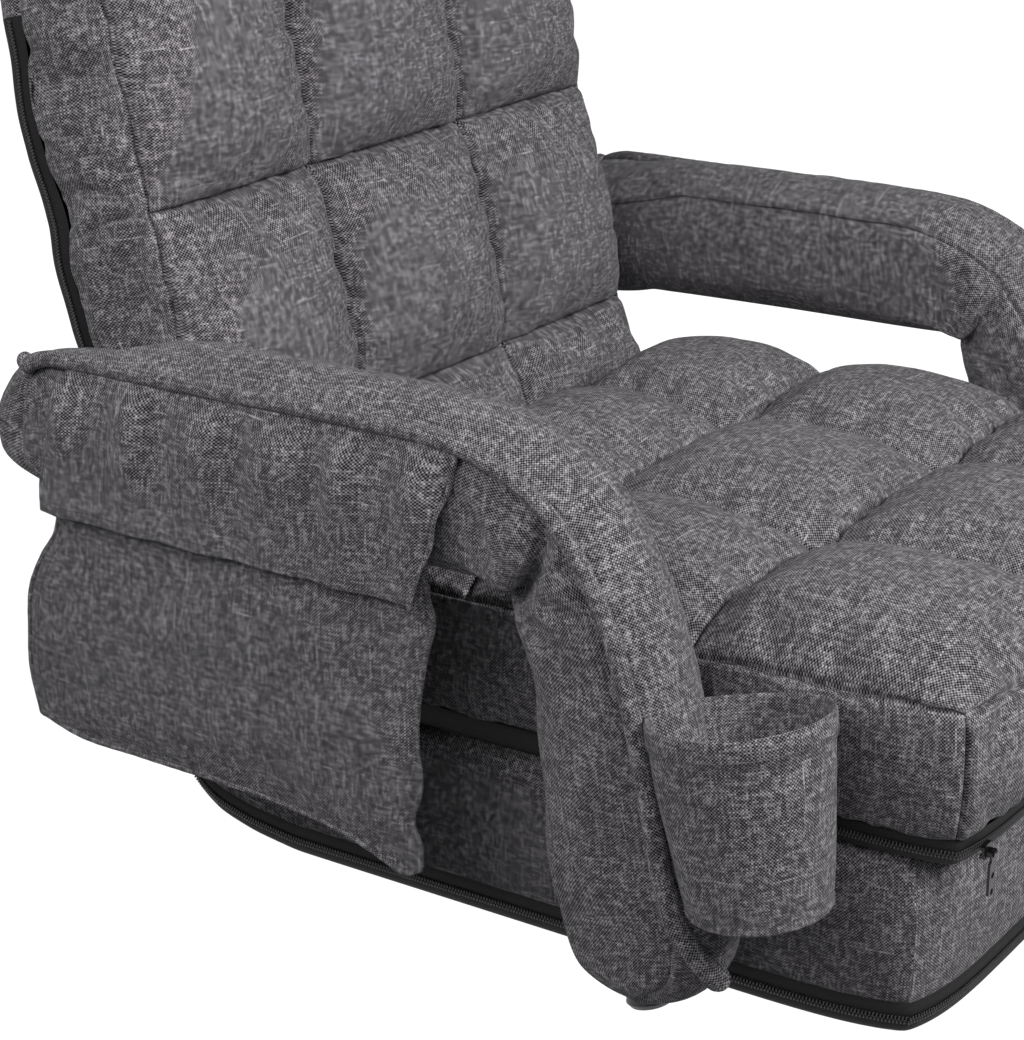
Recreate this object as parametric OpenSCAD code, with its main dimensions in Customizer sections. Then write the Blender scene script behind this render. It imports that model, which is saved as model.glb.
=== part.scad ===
// Folding floor chair with padded linkage arms, a side pocket and a cup holder.
// The sitter faces -Y, +Z is up, and the origin is the centre of the base's underside.

/* [Base layer] */
// Width of the base layer, side to side
base_w = 524; // [480:1:560]
// Depth of the base layer, front to rear
base_d = 570; // [530:1:610]
// Height of the base layer
base_h = 117; // [90:1:140]
// Radius of the base layer's upright corners
base_corner = 30; // [20:1:40]
// Height of the black underside where it turns up the wall
wrap_h = 22; // [16:1:30]
// Thickness of the cover fabric with its backing
cover_t = 2; // [1.5:0.1:3]
// Width of a closed zip chain
zip_w = 6; // [4:0.5:8]
// Thickness of a zip chain
zip_t = 1.4; // [1:0.1:2]

/* [Seat cushion] */
// Width of the seat cushion
seat_w = 520; // [480:1:540]
// How far the seat cushion stands out in front of the base
seat_over = 23; // [10:1:30]
// Height of the seat cushion's side wall, up to its top seam
seat_wall = 81; // [60:1:95]
// How far the sewn channels lie above the top seam
seat_groove = 9; // [4:1:14]
// How far the tufts stand above the sewn channels
seat_crown = 27; // [15:1:35]
// Depth of the front row of tufts
seat_row_front = 186; // [160:1:200]
// Depth of the middle row of tufts
seat_row_mid = 190; // [160:1:200]
// Width of the middle column of tufts
tuft_col = 180; // [150:1:200]
// How far the black underside is set in from the cushion's wall
under_inset = 6; // [3:1:12]

/* [Backrest] */
// Thickness of the backrest at its border
back_t = 84; // [72:1:84]
// Length of the backrest above its hinge
back_len = 585; // [540:1:640]
// Lean of the backrest from upright, as it stands
lean = 13.5; // [8:0.5:15]
// Distance from the hinge axis forward of the base's rear edge
hinge_in = 27; // [15:1:27]
// Thickness of the flat inner part that carries the tufted front
front_core = 26; // [26:0.5:30]
// Height of the lowest sewn channel above the hinge
row_a = 75; // [65:1:85]
// Height of one row of tufts
row_pitch = 170; // [150:1:176]
// How far the tufts stand in front of the border seam
back_crown = 26; // [12:1:28]
// Radius of the backrest's top corners
back_corner = 35; // [20:1:45]
// Distance of the backrest frame's top tube below the backrest's top
hoop_down = 60; // [55:1:75]
// Height above the hinge where the zipped black rear panel ends
hood_s = 387; // [340:1:420]
// Width of the black rear panel where it turns on to the sides
back_wrap = 14; // [10:1:20]

/* [Frame] */
// Outer diameter of the steel tubes
tube_d = 16; // [14:0.5:18]
// Wall of the steel tubes
tube_wall = 1.5; // [1:0.1:2]
// Distance of the rear cross tube in front of the seat cushion's rear
rear_cross = 106; // [95:1:120]
// Bend radius of the tubes, at their centre line
tube_bend = 45; // [35:1:55]
// Distance of the seat frame's tubes in from the cushion's wall
frame_in = 24; // [20:1:28]
// Distance of the backrest frame's tubes in from the seat frame's
back_frame_in = 14; // [13:0.5:16]
// Diameter of all pivot pins
pin_d = 10; // [8:0.5:11]
// Running clearance of a pin in its bore, on the radius
run_fit = 0.05; // [0.02:0.01:0.08]
// Thickness of the steel plates
plate_t = 3; // [2:0.1:3.4]
// Seating gap between a piece and what carries it
seat_gap = 0.3; // [0.2:0.05:0.4]

/* [Ratchet hinge] */
// Radius over the teeth of the ratchet wheel
wheel_r = 22; // [19:0.5:23]
// Depth of the ratchet teeth
tooth_h = 3.5; // [2:0.25:4.5]
// Number of ratchet teeth
teeth = 18; // [12:1:24]
// Radius of the round end of the hinge plates
plate_r = 24; // [21:0.5:25]
// Reach of the moving plate up the backrest tube
plate_reach = 110; // [90:1:130]
// Distance between the two bolts of a moving plate
bolt_pitch = 40; // [30:1:50]
// Diameter of those bolts
bolt_d = 6; // [5:0.5:8]
// Length of the ratchet pawls, from the rivet's axis to the tip
pawl_len = 19; // [18:0.5:20]
// Diameter of the pawls' rivets
rivet_d = 6; // [5:0.5:8]

/* [Arms] */
// Width of the arm padding
arm_w = 80; // [70:1:90]
// Height of the arm's top above the floor
arm_top = 350; // [340:1:360]
// Gap between the base layer's wall and the inner face of the arm
arm_gap = 4; // [4:0.5:8]
// Distance from the backrest hinge to the arm's rear pivot
link = 135; // [125:1:140]
// Distance of the elbow pivot in front of the chair's centre
elbow_y = 62; // [50:1:70]
// Depth of the elbow pivot below the arm's top
elbow_down = 60; // [56:1:64]
// Radius of the padded nose round the elbow
nose_r = 40; // [36:1:42]
// How far the arm's top edge starts to round down behind the front of its shoulder
arm_round = 18; // [10:1:24]
// Radius of the padded rear end of the arm
heel_r = 48; // [44:1:50]
// Height of the arm padding at its front end
arm_h = 80; // [70:1:85]
// Radius of the long edges of the padding
pad_edge = 22; // [14:1:28]
// Distance from the elbow pivot to the lower end of the leg's padding
leg_len = 268; // [255:1:272]
// Thickness of the leg's padding in front of its tube
leg_front = 54; // [48:1:58]
// Thickness of the leg's padding behind its tube
leg_rear = 26; // [22:1:30]
// Distance from the elbow pivot to the foot's sole
foot_len = 291; // [285:1:292]
// Diameter of the foot
foot_d = 30; // [24:1:34]
// Diameter of the cross bushes on the arm tubes
bush_d = 18; // [16:0.5:19]
// Length of the cross bushes
bush_len = 20; // [16:1:24]

/* [Cup holder] */
// Radius of the cup holder's mouth
cup_r = 55; // [48:1:58]
// Radius of the cup holder's floor
cup_floor_r = 44; // [38:1:47]
// Height of the cup holder
cup_h = 118; // [105:1:125]
// Distance from the elbow pivot down to the mouth
cup_down = 102; // [95:1:110]
// Thickness of the cup holder's fabric wall
cup_t = 2.5; // [2:0.1:4]

/* [Side pocket] */
// Length of the pocket, front to rear
pocket_len = 313; // [280:1:320]
// Height of the pocket's underside above the floor
pocket_low = 84; // [75:1:110]
// Height of the pocket's mouth above the floor
pocket_mouth = 300; // [285:1:308]
// Fabric thickness of the pocket
pocket_fabric = 1.5; // [1:0.1:2.5]
// Free depth inside the pocket
pocket_room = 9; // [6:0.5:12]
// Height of the flap that covers the mouth
flap_h = 98; // [80:1:110]
// Thickness of the folded flap
flap_t = 2.5; // [1.5:0.1:3]

/* [Zip pull] */
// Length of the zip pull's tab
pull_len = 28; // [22:1:34]
// Width of the zip pull's tab
pull_w = 8; // [6:0.5:10]

/* [Hidden] */
$fn = 64;
right = -1;
left = 1;
steel = [0.55, 0.56, 0.58];
zinc = [0.72, 0.73, 0.75];
linen = [0.36, 0.35, 0.37];
linen_light = [0.42, 0.41, 0.43];
black = [0.06, 0.06, 0.065];
foam = [0.85, 0.82, 0.68];
plastic = [0.28, 0.28, 0.3];
far = 400;
tube_r = tube_d / 2;
pin_r = pin_d / 2;
bore_r = pin_r + run_fit;
bush_r = bush_d / 2;

// The frame lies between the base layer and the seat cushion
frame_gap = tube_d + 2 * seat_gap;
frame_z = base_h + frame_gap / 2;
seat_low = base_h + frame_gap;
seat_front = -base_d / 2 - seat_over;
frame_x = seat_w / 2 - frame_in;
frame_front = seat_front + frame_in;
frame_rear = base_d / 2 - frame_in + 1;
frame_mid = (frame_front + frame_rear) / 2;
frame_len = frame_rear - frame_front;

// The backrest turns about an axis that lets its round lower end pass over the frame
back_half = back_t / 2;
hinge_y = base_d / 2 - hinge_in;
back_w = seat_w;
seat_rear = hinge_y - back_half - back_crown + 2;
seat_depth = seat_rear - seat_front;
seat_mid = (seat_front + seat_rear) / 2;
hinge_z = seat_low + back_half + 2;
back_x = frame_x - back_frame_in;
tuft_x = tuft_col / 2;

// Plates of the ratchet hinge, from the backrest tube outwards
move_in = back_x + tube_r + seat_gap;
wheel_in = move_in + plate_t;
fixed_in = wheel_in + plate_t + 2 * seat_gap;
fixed_out = fixed_in + plate_t;
fixed_foot = seat_rear + 4 - hinge_y;
slot_in = move_in - seat_gap;
slot_out = fixed_out + 2.5;
slot_top = plate_r + 2;
pawl_at = wheel_r * [0.545, -1.455];
rivet_r = rivet_d / 2;

// The arm linkage is a parallelogram: hinge, rear pivot, elbow and leg pivot
elbow_z = arm_top - elbow_down;
rear_y = hinge_y + link * sin(lean);
rear_z = hinge_z + link * cos(lean);
leg_y = -elbow_y - link * sin(lean);
leg_z = elbow_z - link * cos(lean);
rail_run = rear_y + elbow_y;
rail_rise = rear_z - elbow_z;
rail_len = sqrt(rail_run * rail_run + rail_rise * rail_rise);
rail_tilt = atan2(rail_rise, rail_run);
arm_in = max(seat_w, base_w) / 2 + arm_gap;
arm_out = arm_in + arm_w;
arm_x = arm_in + arm_w / 2;
arm_low = arm_top - arm_h;
heel_y = rear_y + 40;
heel_z = arm_top - heel_r - 1;
saddle_r = nose_r + 1.5;
bracket_t = 3;
bracket_in = arm_in - bracket_t - 1.2;
tongue_h = 8;
tongue_w = 32;
ear_in = arm_x - bush_len / 2 - seat_gap - plate_t;
ear_out = arm_x + bush_len / 2 + seat_gap + plate_t;
ear_r = 12;
saddle_top = 15;
post_top = 22;
foot_h = 20;
swing_up = 10;
swing_down = 76;

// Pocket and flap, measured outwards from the arm's outer face
pouch_front = 5;
pouch_in = arm_out + seat_gap;
pouch_out = pouch_in + 2 * pocket_fabric + pocket_room;
flap_in = pouch_out + 0.5;
flap_top_in = pouch_in + pocket_fabric + 0.5;
flap_top = arm_top - 1;
flap_low = flap_top - flap_h;

// Zip on the seat cushion's underside
band_y = seat_front + under_inset;
chain_y = band_y - zip_t;
slider_x = -seat_w / 2 + 30;
slider_l = 12;
slider_h = 9;
slider_t = 3.2;
bail_y = chain_y - seat_gap - slider_t - 2.6;
bail_z = frame_z - 1;

// Stations of one tuft across its width, closer together near the sewn channels
steps = [0, 0.06, 0.17, 0.32, 0.5, 0.68, 0.83, 0.94];
function stations(b) = [for (i = [0 : len(b) - 2], f = steps) b[i] + (b[i + 1] - b[i]) * f, b[len(b) - 1]];
function swell(b) = [for (i = [0 : len(b) - 2], f = steps) pow(sin(180 * f), 0.55), 0];
function ring(m, n) = concat([for (i = [0 : m - 2]) [i, 0]], [for (j = [0 : n - 2]) [m - 1, j]],
    [for (i = [m - 1 : -1 : 1]) [i, n - 1]], [for (j = [n - 1 : -1 : 1]) [0, j]]);

// Height of the sewn channels: down at the border seam, level inside
function rise(a, lo, hi) = sin(90 * min(1, min(a - lo, hi - a) / 45));

// A padded block with rows and columns of tufts: us and vs are the channel lines, low is its flat
// bottom, seam the height of its border seam, and its wall swells out between drawn-in seams
module tufted(us, vs, low, seam, groove, crown) {
    u = stations(us);
    v = stations(vs);
    bu = swell(us);
    bv = swell(vs);
    m = len(u);
    n = len(v);
    uc = (us[0] + us[len(us) - 1]) / 2;
    vc = (vs[0] + vs[len(vs) - 1]) / 2;
    hu = us[len(us) - 1] - uc;
    hv = vs[len(vs) - 1] - vc;
    draw = 3;
    round_in = 9;
    function plan(i, j, d) = let (a = (u[i] - uc) / hu, b = (v[j] - vc) / hv)
        [uc + a * (hu - d - round_in * pow(abs(b), 9)), vc + b * (hv - d - round_in * pow(abs(a), 9))];
    function channel(i, j) = rise(u[i], us[0], us[len(us) - 1]) * rise(v[j], vs[0], vs[len(vs) - 1]);
    function crest(i, j) = seam + groove * channel(i, j) + crown * bu[i] * bv[j];
    top = [for (i = [0 : m - 1], j = [0 : n - 1]) let (p = plan(i, j, draw)) [p[0], p[1], crest(i, j)]];
    edge = ring(m, n);
    k = len(edge);
    wall = seam - low;
    rings = [[0.3, 0], [0.75, 0.8], [1, 4]];
    walls = [for (w = rings, e = edge) let (p = plan(e[0], e[1], w[1])) [p[0], p[1], seam - w[0] * wall]];
    function upper(q, a) = q == 0 ? edge[a % k][0] * n + edge[a % k][1] : m * n + (q - 1) * k + a % k;
    top_faces = [for (i = [0 : m - 2], j = [0 : n - 2], h = [0, 1]) h == 0
        ? [i * n + j, i * n + j + 1, (i + 1) * n + j + 1] : [i * n + j, (i + 1) * n + j + 1, (i + 1) * n + j]];
    wall_faces = [for (q = [0 : 2], a = [0 : k - 1], h = [0, 1]) let (next = upper(q + 1, a + 1)) h == 0
        ? [upper(q, a), upper(q, a + 1), next] : [upper(q, a), next, upper(q + 1, a)]];
    heart = m * n + 3 * k;
    floor_faces = [for (a = [0 : k - 1]) [upper(3, a), upper(3, a + 1), heart]];
    polyhedron(concat(top, walls, [[uc, vc, low]]), concat(top_faces, wall_faces, floor_faces), convexity = 6);
}

// Flat shapes and blocks with round corners
module round_rect(w, d, r) {
    square([w - 2 * r, d], center = true);
    square([w, d - 2 * r], center = true);
    for (x = [-1, 1], y = [-1, 1]) translate([x * (w / 2 - r), y * (d / 2 - r)]) circle(r);
}

module slab(w, d, r, z0, z1) {
    translate([0, 0, z0]) linear_extrude(z1 - z0) round_rect(w, d, r);
}

// A flat bar from one round end to another
module strap(a, ra, b, rb) {
    ang = atan2(b[1] - a[1], b[0] - a[0]);
    n = [-sin(ang), cos(ang)];
    translate(a) circle(ra);
    translate(b) circle(rb);
    polygon([a + n * ra, a - n * ra, b - n * rb, b + n * rb]);
}

// Draws a left-hand piece on the side asked for
module on_side(s) {
    if (s < 0) mirror([1, 0, 0]) children();
    else children();
}

module both_sides() {
    for (s = [right, left]) on_side(s) children();
}

// A side view, drawn in Y and Z, made as thick as asked along X from x0 outwards
module sideways(x0, t) {
    translate([x0, 0, 0]) rotate([90, 0, 90]) linear_extrude(t) children();
}

// A round bar along X
module bar_x(r, x0, x1) {
    translate([x0, 0, 0]) rotate([0, 90, 0]) cylinder(r = r, h = x1 - x0);
}

// Places that lean with the backrest: local Z runs up along it and local -Y points to its front
module at_hinge() {
    translate([0, hinge_y, hinge_z]) rotate([-lean, 0, 0]) children();
}

module at_elbow() {
    translate([0, -elbow_y, elbow_z]) rotate([-lean, 0, 0]) children();
}

// Base layer: a zipped cover over a foam block
module base_cover() {
    color(linen) difference() {
        slab(base_w, base_d, base_corner, wrap_h, base_h);
        slab(base_w - 2 * cover_t, base_d - 2 * cover_t, base_corner - cover_t, wrap_h - 1, base_h - cover_t);
    }
}

module base_underside() {
    color(black) slab(base_w, base_d, base_corner, 0, cover_t);
}

module base_zip_band() {
    color(black) difference() {
        slab(base_w, base_d, base_corner, cover_t, wrap_h);
        slab(base_w - 2 * cover_t, base_d - 2 * cover_t, base_corner - cover_t, 0, wrap_h + 1);
    }
}

module base_zip_chain() {
    mid = (wrap_h + cover_t) / 2;
    color(black) difference() {
        slab(base_w + 2 * zip_t, base_d + 2 * zip_t, base_corner + zip_t, mid - zip_w / 2, mid + zip_w / 2);
        slab(base_w, base_d, base_corner, 0, wrap_h);
    }
}

module base_foam() {
    w = cover_t + seat_gap;
    color(foam) slab(base_w - 2 * w, base_d - 2 * w, base_corner - w, w, base_h - w);
}

// Seat frame: one bent loop of tube with two cross tubes, between the base layer and the cushion
module tube_loop(r) {
    ax = frame_x - tube_bend;
    ay = frame_len / 2 - tube_bend;
    translate([0, frame_mid, frame_z]) {
        for (x = [-1, 1]) translate([x * frame_x, -ay, 0]) rotate([-90, 0, 0]) cylinder(r = r, h = 2 * ay);
        for (y = [-1, 1]) translate([0, y * (ay + tube_bend), 0]) bar_x(r, -ax, ax);
        for (q = [0 : 3]) {
            sx = q == 0 || q == 3 ? 1 : -1;
            sy = q < 2 ? 1 : -1;
            translate([sx * ax, sy * ay, 0]) rotate([0, 0, 90 * q])
                rotate_extrude(angle = 90) translate([tube_bend, 0]) circle(r);
        }
    }
}

cross_y = [leg_y, seat_rear - rear_cross];

module seat_frame() {
    inner = frame_x - tube_r - seat_gap;
    color(steel) {
        difference() {
            tube_loop(tube_r);
            tube_loop(tube_r - tube_wall);
        }
        for (y = cross_y) translate([0, y, frame_z]) difference() {
            bar_x(tube_r, -inner, inner);
            bar_x(tube_r - tube_wall, -inner - 1, inner + 1);
        }
    }
}

// Black zipped underside of the seat cushion, with channels that the frame lies in
module frame_channels() {
    w = tube_d + 1;
    translate([0, frame_mid]) difference() {
        round_rect(2 * frame_x + w, frame_len + w, tube_bend + w / 2);
        round_rect(2 * frame_x - w, frame_len - w, tube_bend - w / 2);
    }
    for (y = cross_y) translate([0, y]) square([2 * frame_x, w], center = true);
    for (x = [-1, 1]) translate([x * (frame_x + bracket_in) / 2, leg_y])
        square([bracket_in - frame_x + 4, tongue_w + 2], center = true);
}

module seat_underside() {
    w = seat_w - 2 * under_inset;
    d = seat_depth - 2 * under_inset;
    color(black) translate([0, 0, base_h]) linear_extrude(frame_gap) difference() {
        translate([0, seat_mid]) round_rect(w, d, 24);
        frame_channels();
    }
}

module seat_zip_chain() {
    w = seat_w - 2 * under_inset;
    d = seat_depth - 2 * under_inset;
    side_end = leg_y - tongue_w / 2 - 2;
    color(black) difference() {
        translate([0, seat_mid, 0]) slab(w + 2 * zip_t, d + 2 * zip_t, 24 + zip_t, frame_z - zip_w / 2,
            frame_z + zip_w / 2);
        translate([0, seat_mid, 0]) slab(w, d, 24, base_h, seat_low);
        translate([-far, side_end, 0]) cube([2 * far, 2 * far, far]);
    }
}

module seat_cushion() {
    us = [-seat_w / 2, -tuft_x, tuft_x, seat_w / 2];
    vs = [seat_front, seat_front + seat_row_front, seat_front + seat_row_front + seat_row_mid, seat_rear];
    color(linen_light) tufted(us, vs, seat_low, seat_low + seat_wall, seat_groove, seat_crown);
}

// Ratchet hinge, one at each side: a fixed plate whose foot stands on the seat frame's side tube, and
// a moving plate on the backrest tube that carries a toothed wheel
module fixed_plate_outline() {
    down = frame_z - hinge_z;
    foot_top = down + tube_r + 8;
    difference() {
        union() {
            circle(plate_r);
            polygon([[-plate_r, 0], [plate_r, 0], [plate_r - 3, down + tube_r], [plate_r - 10, down],
                [fixed_foot, down], [fixed_foot, foot_top - 3], [fixed_foot + 4, foot_top],
                [-plate_r, foot_top + 5]]);
        }
        circle(pin_r);
        translate(pawl_at) circle(rivet_r);
    }
}

module hinge_fixed_plates() {
    color(steel) both_sides() difference() {
        translate([0, hinge_y, hinge_z]) sideways(fixed_in, plate_t) fixed_plate_outline();
        tube_saddle();
    }
}

// Room round the seat frame's side tube and rear bend for the foot that stands on it
module tube_saddle() {
    ax = frame_x - tube_bend;
    ay = frame_rear - tube_bend;
    translate([frame_x, 0, frame_z]) rotate([-90, 0, 0]) cylinder(r = tube_r, h = ay);
    translate([ax, ay, frame_z]) rotate_extrude(angle = 90) translate([tube_bend, 0]) circle(tube_r);
    translate([frame_x, hinge_y, frame_z - far / 2]) cube([tube_d, far, far], center = true);
}

module hinge_pins() {
    color(zinc) both_sides() translate([0, hinge_y, hinge_z]) {
        bar_x(pin_r, move_in - seat_gap, fixed_out);
        bar_x(pin_r + 3, fixed_out, fixed_out + 2);
    }
}

// Saw-shaped ratchet teeth, steep on the side that holds the backrest up
module wheel_outline() {
    pitch = 360 / teeth;
    polygon([for (i = [0 : teeth - 1], h = [0, 1]) let (r = h == 0 ? wheel_r : wheel_r - tooth_h,
        a = (i + 0.88 * h) * pitch) [r * cos(a), r * sin(a)]]);
}

module hinge_moving_plates() {
    color(steel) both_sides() at_hinge() difference() {
        union() {
            sideways(move_in, plate_t) strap([0, 0], plate_r, [0, plate_reach], tube_r);
            sideways(wheel_in, plate_t) wheel_outline();
        }
        bar_x(bore_r, move_in - 1, wheel_in + plate_t + 1);
        for (z = bolt_up) translate([0, 0, z]) bar_x(bolt_r, move_in - 1, wheel_in + 1);
    }
}

// Bolts that hold the moving plates to the backrest tubes
bolt_r = bolt_d / 2;
bolt_up = [plate_reach - bolt_pitch, plate_reach - 8];

module bolt_places() {
    both_sides() for (z = bolt_up) translate([0, 0, z]) children();
}

module plate_bolts() {
    color(zinc) at_hinge() bolt_places() {
        bar_x(bolt_r, back_x - tube_r, wheel_in);
        bar_x(bolt_r + 2.2, wheel_in, wheel_in + 3);
    }
}

// Pawls behind the wheels stand just clear of the teeth, as when the backrest is free to move
module ratchet_pawls() {
    color(steel) both_sides() translate([0, hinge_y + pawl_at[0], hinge_z + pawl_at[1]])
        sideways(wheel_in + seat_gap, plate_t) difference() {
            union() {
                circle(pawl_len / 3);
                polygon(pawl_len * [[0.34, 0], [0, -0.34], [-0.26, 0.16], [0.1, 0.58], [0.37, 0.95],
                    [0.5, 0.87]]);
            }
            circle(rivet_r + run_fit);
        }
}

module pawl_rivets() {
    color(zinc) both_sides() translate([0, hinge_y + pawl_at[0], hinge_z + pawl_at[1]]) {
        bar_x(rivet_r, wheel_in + seat_gap, fixed_out);
        bar_x(rivet_r + 2, fixed_out, fixed_out + 1.5);
    }
}

// Brackets on the seat frame that carry the arms' legs, beside the cushion
module leg_brackets() {
    inner = frame_x + tube_r + seat_gap;
    color(steel) both_sides() {
        sideways(bracket_in, bracket_t) difference() {
            strap([leg_y, leg_z], 15, [leg_y, frame_z], tongue_w / 2);
            translate([leg_y - far / 2, frame_z - tongue_h / 2 - far]) square(far);
            translate([leg_y, leg_z]) circle(pin_r);
        }
        translate([inner, leg_y - tongue_w / 2, frame_z - tongue_h / 2])
            cube([bracket_in - inner, tongue_w, tongue_h]);
    }
}

module leg_pivot_pins() {
    color(zinc) both_sides() translate([0, leg_y, leg_z]) bar_x(pin_r, bracket_in, arm_x + bush_len / 2 + 1);
}

// Backrest: foam block round the frame, with a tufted front and a zipped rear panel.
// back_block is the block under its cover, smaller all round by the inset given.
module back_block(inset) {
    hw = back_w / 2 - inset;
    hr = back_half - inset;
    rear = front_core + hr;
    rotate([90, 0, 0]) translate([0, 0, -hr]) linear_extrude(rear) {
        translate([-hw, 0]) square([2 * hw, back_len - back_corner]);
        translate([-hw + back_corner, 0]) square([2 * (hw - back_corner), back_len - inset]);
        for (x = [-1, 1]) translate([x * (hw - back_corner), back_len - inset - back_corner])
            circle(back_corner);
    }
    difference() {
        bar_x(hr, -hw, hw);
        translate([-far, -front_core - far, -far]) cube([2 * far, far, 2 * far]);
    }
}

// Slots for the hinge plates and holes for the arm stubs
module back_cuts(pin_room) {
    both_sides() {
        translate([slot_in, -far, -far]) cube([slot_out - slot_in, 2 * far, far + slot_top]);
        translate([0, 0, link]) bar_x(pin_r + pin_room, back_x - tube_r - pin_room, far);
    }
}

module back_shell() {
    difference() {
        back_block(0);
        back_block(cover_t);
        back_cuts(1);
    }
}

module rear_zone() {
    translate([-far, back_half - back_wrap, -far]) cube([2 * far, far, far + hood_s]);
}

module back_cover() {
    color(linen) at_hinge() difference() {
        back_shell();
        rear_zone();
    }
}

module back_rear_panel() {
    color(black) at_hinge() intersection() {
        back_shell();
        rear_zone();
    }
}

module back_zip_chain() {
    y0 = back_half - back_wrap + 3;
    color(black) at_hinge() both_sides() translate([back_w / 2, y0, 10]) cube([zip_t, zip_w, hood_s - 14]);
}

module back_foam() {
    g = tube_r + 0.5;
    color(foam) at_hinge() difference() {
        back_block(cover_t + seat_gap);
        back_cuts(0.5);
        back_tubes(g);
        both_sides() translate([slot_in, -plate_r - 1, 0])
            cube([plate_t + 4.5, 2 * plate_r + 2, plate_reach + tube_r + 1]);
        both_sides() translate([back_x, 0, link]) bar_x(stub_r + 0.5, 0, stub_out - back_x + 0.5);
    }
}

back_rows = [-28, row_a, row_a + row_pitch, row_a + 2 * row_pitch, back_len];

module back_cushion() {
    us = [-back_w / 2, -tuft_x, tuft_x, back_w / 2];
    color(linen_light) at_hinge() rotate([90, 0, 0])
        tufted(us, back_rows, front_core + 0.3, back_half - 6, 6, back_crown);
}

// Backrest frame: a bent hoop of tube with two cross tubes
hoop_top = back_len - hoop_down;
hoop_cross = [row_a + 15, row_a + 1.5 * row_pitch];
stub_r = 14;
stub_out = fixed_out + 4;

module back_tubes(r) {
    ax = back_x - tube_bend;
    az = hoop_top - tube_bend;
    for (x = [-1, 1]) translate([x * back_x, 0, 0]) cylinder(r = r, h = az);
    translate([0, 0, hoop_top]) bar_x(r, -ax, ax);
    for (x = [0, 1]) mirror([x, 0, 0]) translate([ax, 0, az]) rotate([90, 0, 0])
        rotate_extrude(angle = 90) translate([tube_bend, 0]) circle(r);
    for (z = hoop_cross) translate([0, 0, z]) bar_x(r, -back_x, back_x);
}

module back_frame() {
    color(steel) at_hinge() difference() {
        back_tubes(tube_r);
        translate([0, 0, -1]) back_tubes(tube_r - tube_wall);
        back_tubes(tube_r - tube_wall);
        both_sides() translate([0, 0, link]) bar_x(pin_r, back_x - tube_d, far);
        bolt_places() bar_x(bolt_r, back_x - tube_d, far);
    }
}

// Stub axles for the arms' rear pivots, through the backrest tubes
module arm_stubs() {
    color(zinc) both_sides() at_hinge() translate([0, 0, link]) {
        bar_x(pin_r, back_x - tube_r, arm_x + bush_len / 2 + 2);
        difference() {
            bar_x(stub_r, back_x + tube_r + seat_gap, stub_out);
            bar_x(pin_r, back_x, stub_out + 1);
        }
    }
}

// Arm rail: a tube with a cross bush at each end, loose on the rear stub and running on the elbow pin
module rail_place() {
    translate([arm_x, -elbow_y, elbow_z]) rotate([rail_tilt, 0, 0]) children();
}

module arm_rail(s) {
    color(steel) on_side(s) rail_place() difference() {
        union() {
            rotate([-90, 0, 0]) cylinder(r = tube_r, h = rail_len);
            for (y = [0, rail_len]) translate([0, y, 0]) bar_x(bush_r, -bush_len / 2, bush_len / 2);
        }
        translate([0, bush_r, 0]) rotate([-90, 0, 0])
            cylinder(r = tube_r - tube_wall, h = rail_len - 2 * bush_r);
        bar_x(bore_r, -bush_len, bush_len);
        translate([0, rail_len, 0]) bar_x(pin_r + 0.5, -bush_len, bush_len);
    }
}

// Side view of the arm's padding: round nose at the elbow, round heel behind the rear pivot
module arm_profile() {
    shoulder = [-elbow_y + elbow_down - arm_round, elbow_z];
    translate([-elbow_y, elbow_z]) circle(nose_r);
    intersection() {
        translate(shoulder) circle(elbow_down);
        translate([-far, arm_low]) square([2 * far, far]);
    }
    translate([heel_y, heel_z]) circle(heel_r);
    polygon([[shoulder[0], arm_top], [shoulder[0], arm_low], [heel_y, heel_z - heel_r],
        [heel_y, heel_z + heel_r]]);
}

// Room in the nose for the leg's fork, over its whole swing
module fork_room() {
    sideways(ear_in - 0.5, ear_out - ear_in + 2.5) translate([-elbow_y, elbow_z]) {
        circle(post_top + 5);
        for (a = [-swing_up - 2 : 11 : swing_down + 2]) rotate(-lean - a)
            translate([-tube_r - 4, -far / 4]) square([tube_d + 8, far / 4]);
    }
}

module arm_pad(s) {
    z0 = elbow_z - nose_r;
    y0 = -elbow_y - nose_r;
    y1 = heel_y + heel_r;
    color(linen) on_side(s) difference() {
        intersection() {
            sideways(arm_in, arm_w) arm_profile();
            translate([arm_x, y1 + 1, (z0 + arm_top) / 2]) rotate([90, 0, 0])
                linear_extrude(y1 - y0 + 2) round_rect(arm_w, arm_top - z0, pad_edge);
        }
        rail_place() rotate([-90, 0, 0]) cylinder(r = tube_r + 0.4, h = rail_len);
        translate([0, rear_y, rear_z]) {
            bar_x(bush_r + 0.5, arm_x - bush_len / 2 - 0.5, arm_x + bush_len / 2 + 3);
            bar_x(pin_r + 0.8, arm_in - 1, arm_x);
        }
        fork_room();
    }
}

// Leg post: a tube with a fork at the elbow and a cross bush at the leg pivot
module leg_post(s) {
    color(steel) on_side(s) at_elbow() difference() {
        union() {
            for (x = [ear_in, ear_out - plate_t]) sideways(x, plate_t) strap([0, 0], ear_r, [0, -post_top], 10);
            translate([ear_in, -9, -post_top]) cube([ear_out - ear_in, 18, post_top - saddle_top]);
            translate([arm_x, 0, -foot_len + 4]) cylinder(r = tube_r, h = foot_len - 4 - saddle_top);
            translate([0, 0, -link]) bar_x(bush_r, arm_x - bush_len / 2, arm_x + bush_len / 2);
        }
        bar_x(pin_r, ear_in - 1, ear_out + 1);
        translate([0, 0, -link]) bar_x(bore_r, ear_in, ear_out);
        translate([arm_x, 0, -foot_len + 3]) cylinder(r = tube_r - tube_wall, h = foot_len - link - bush_r - 4);
    }
}

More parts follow.
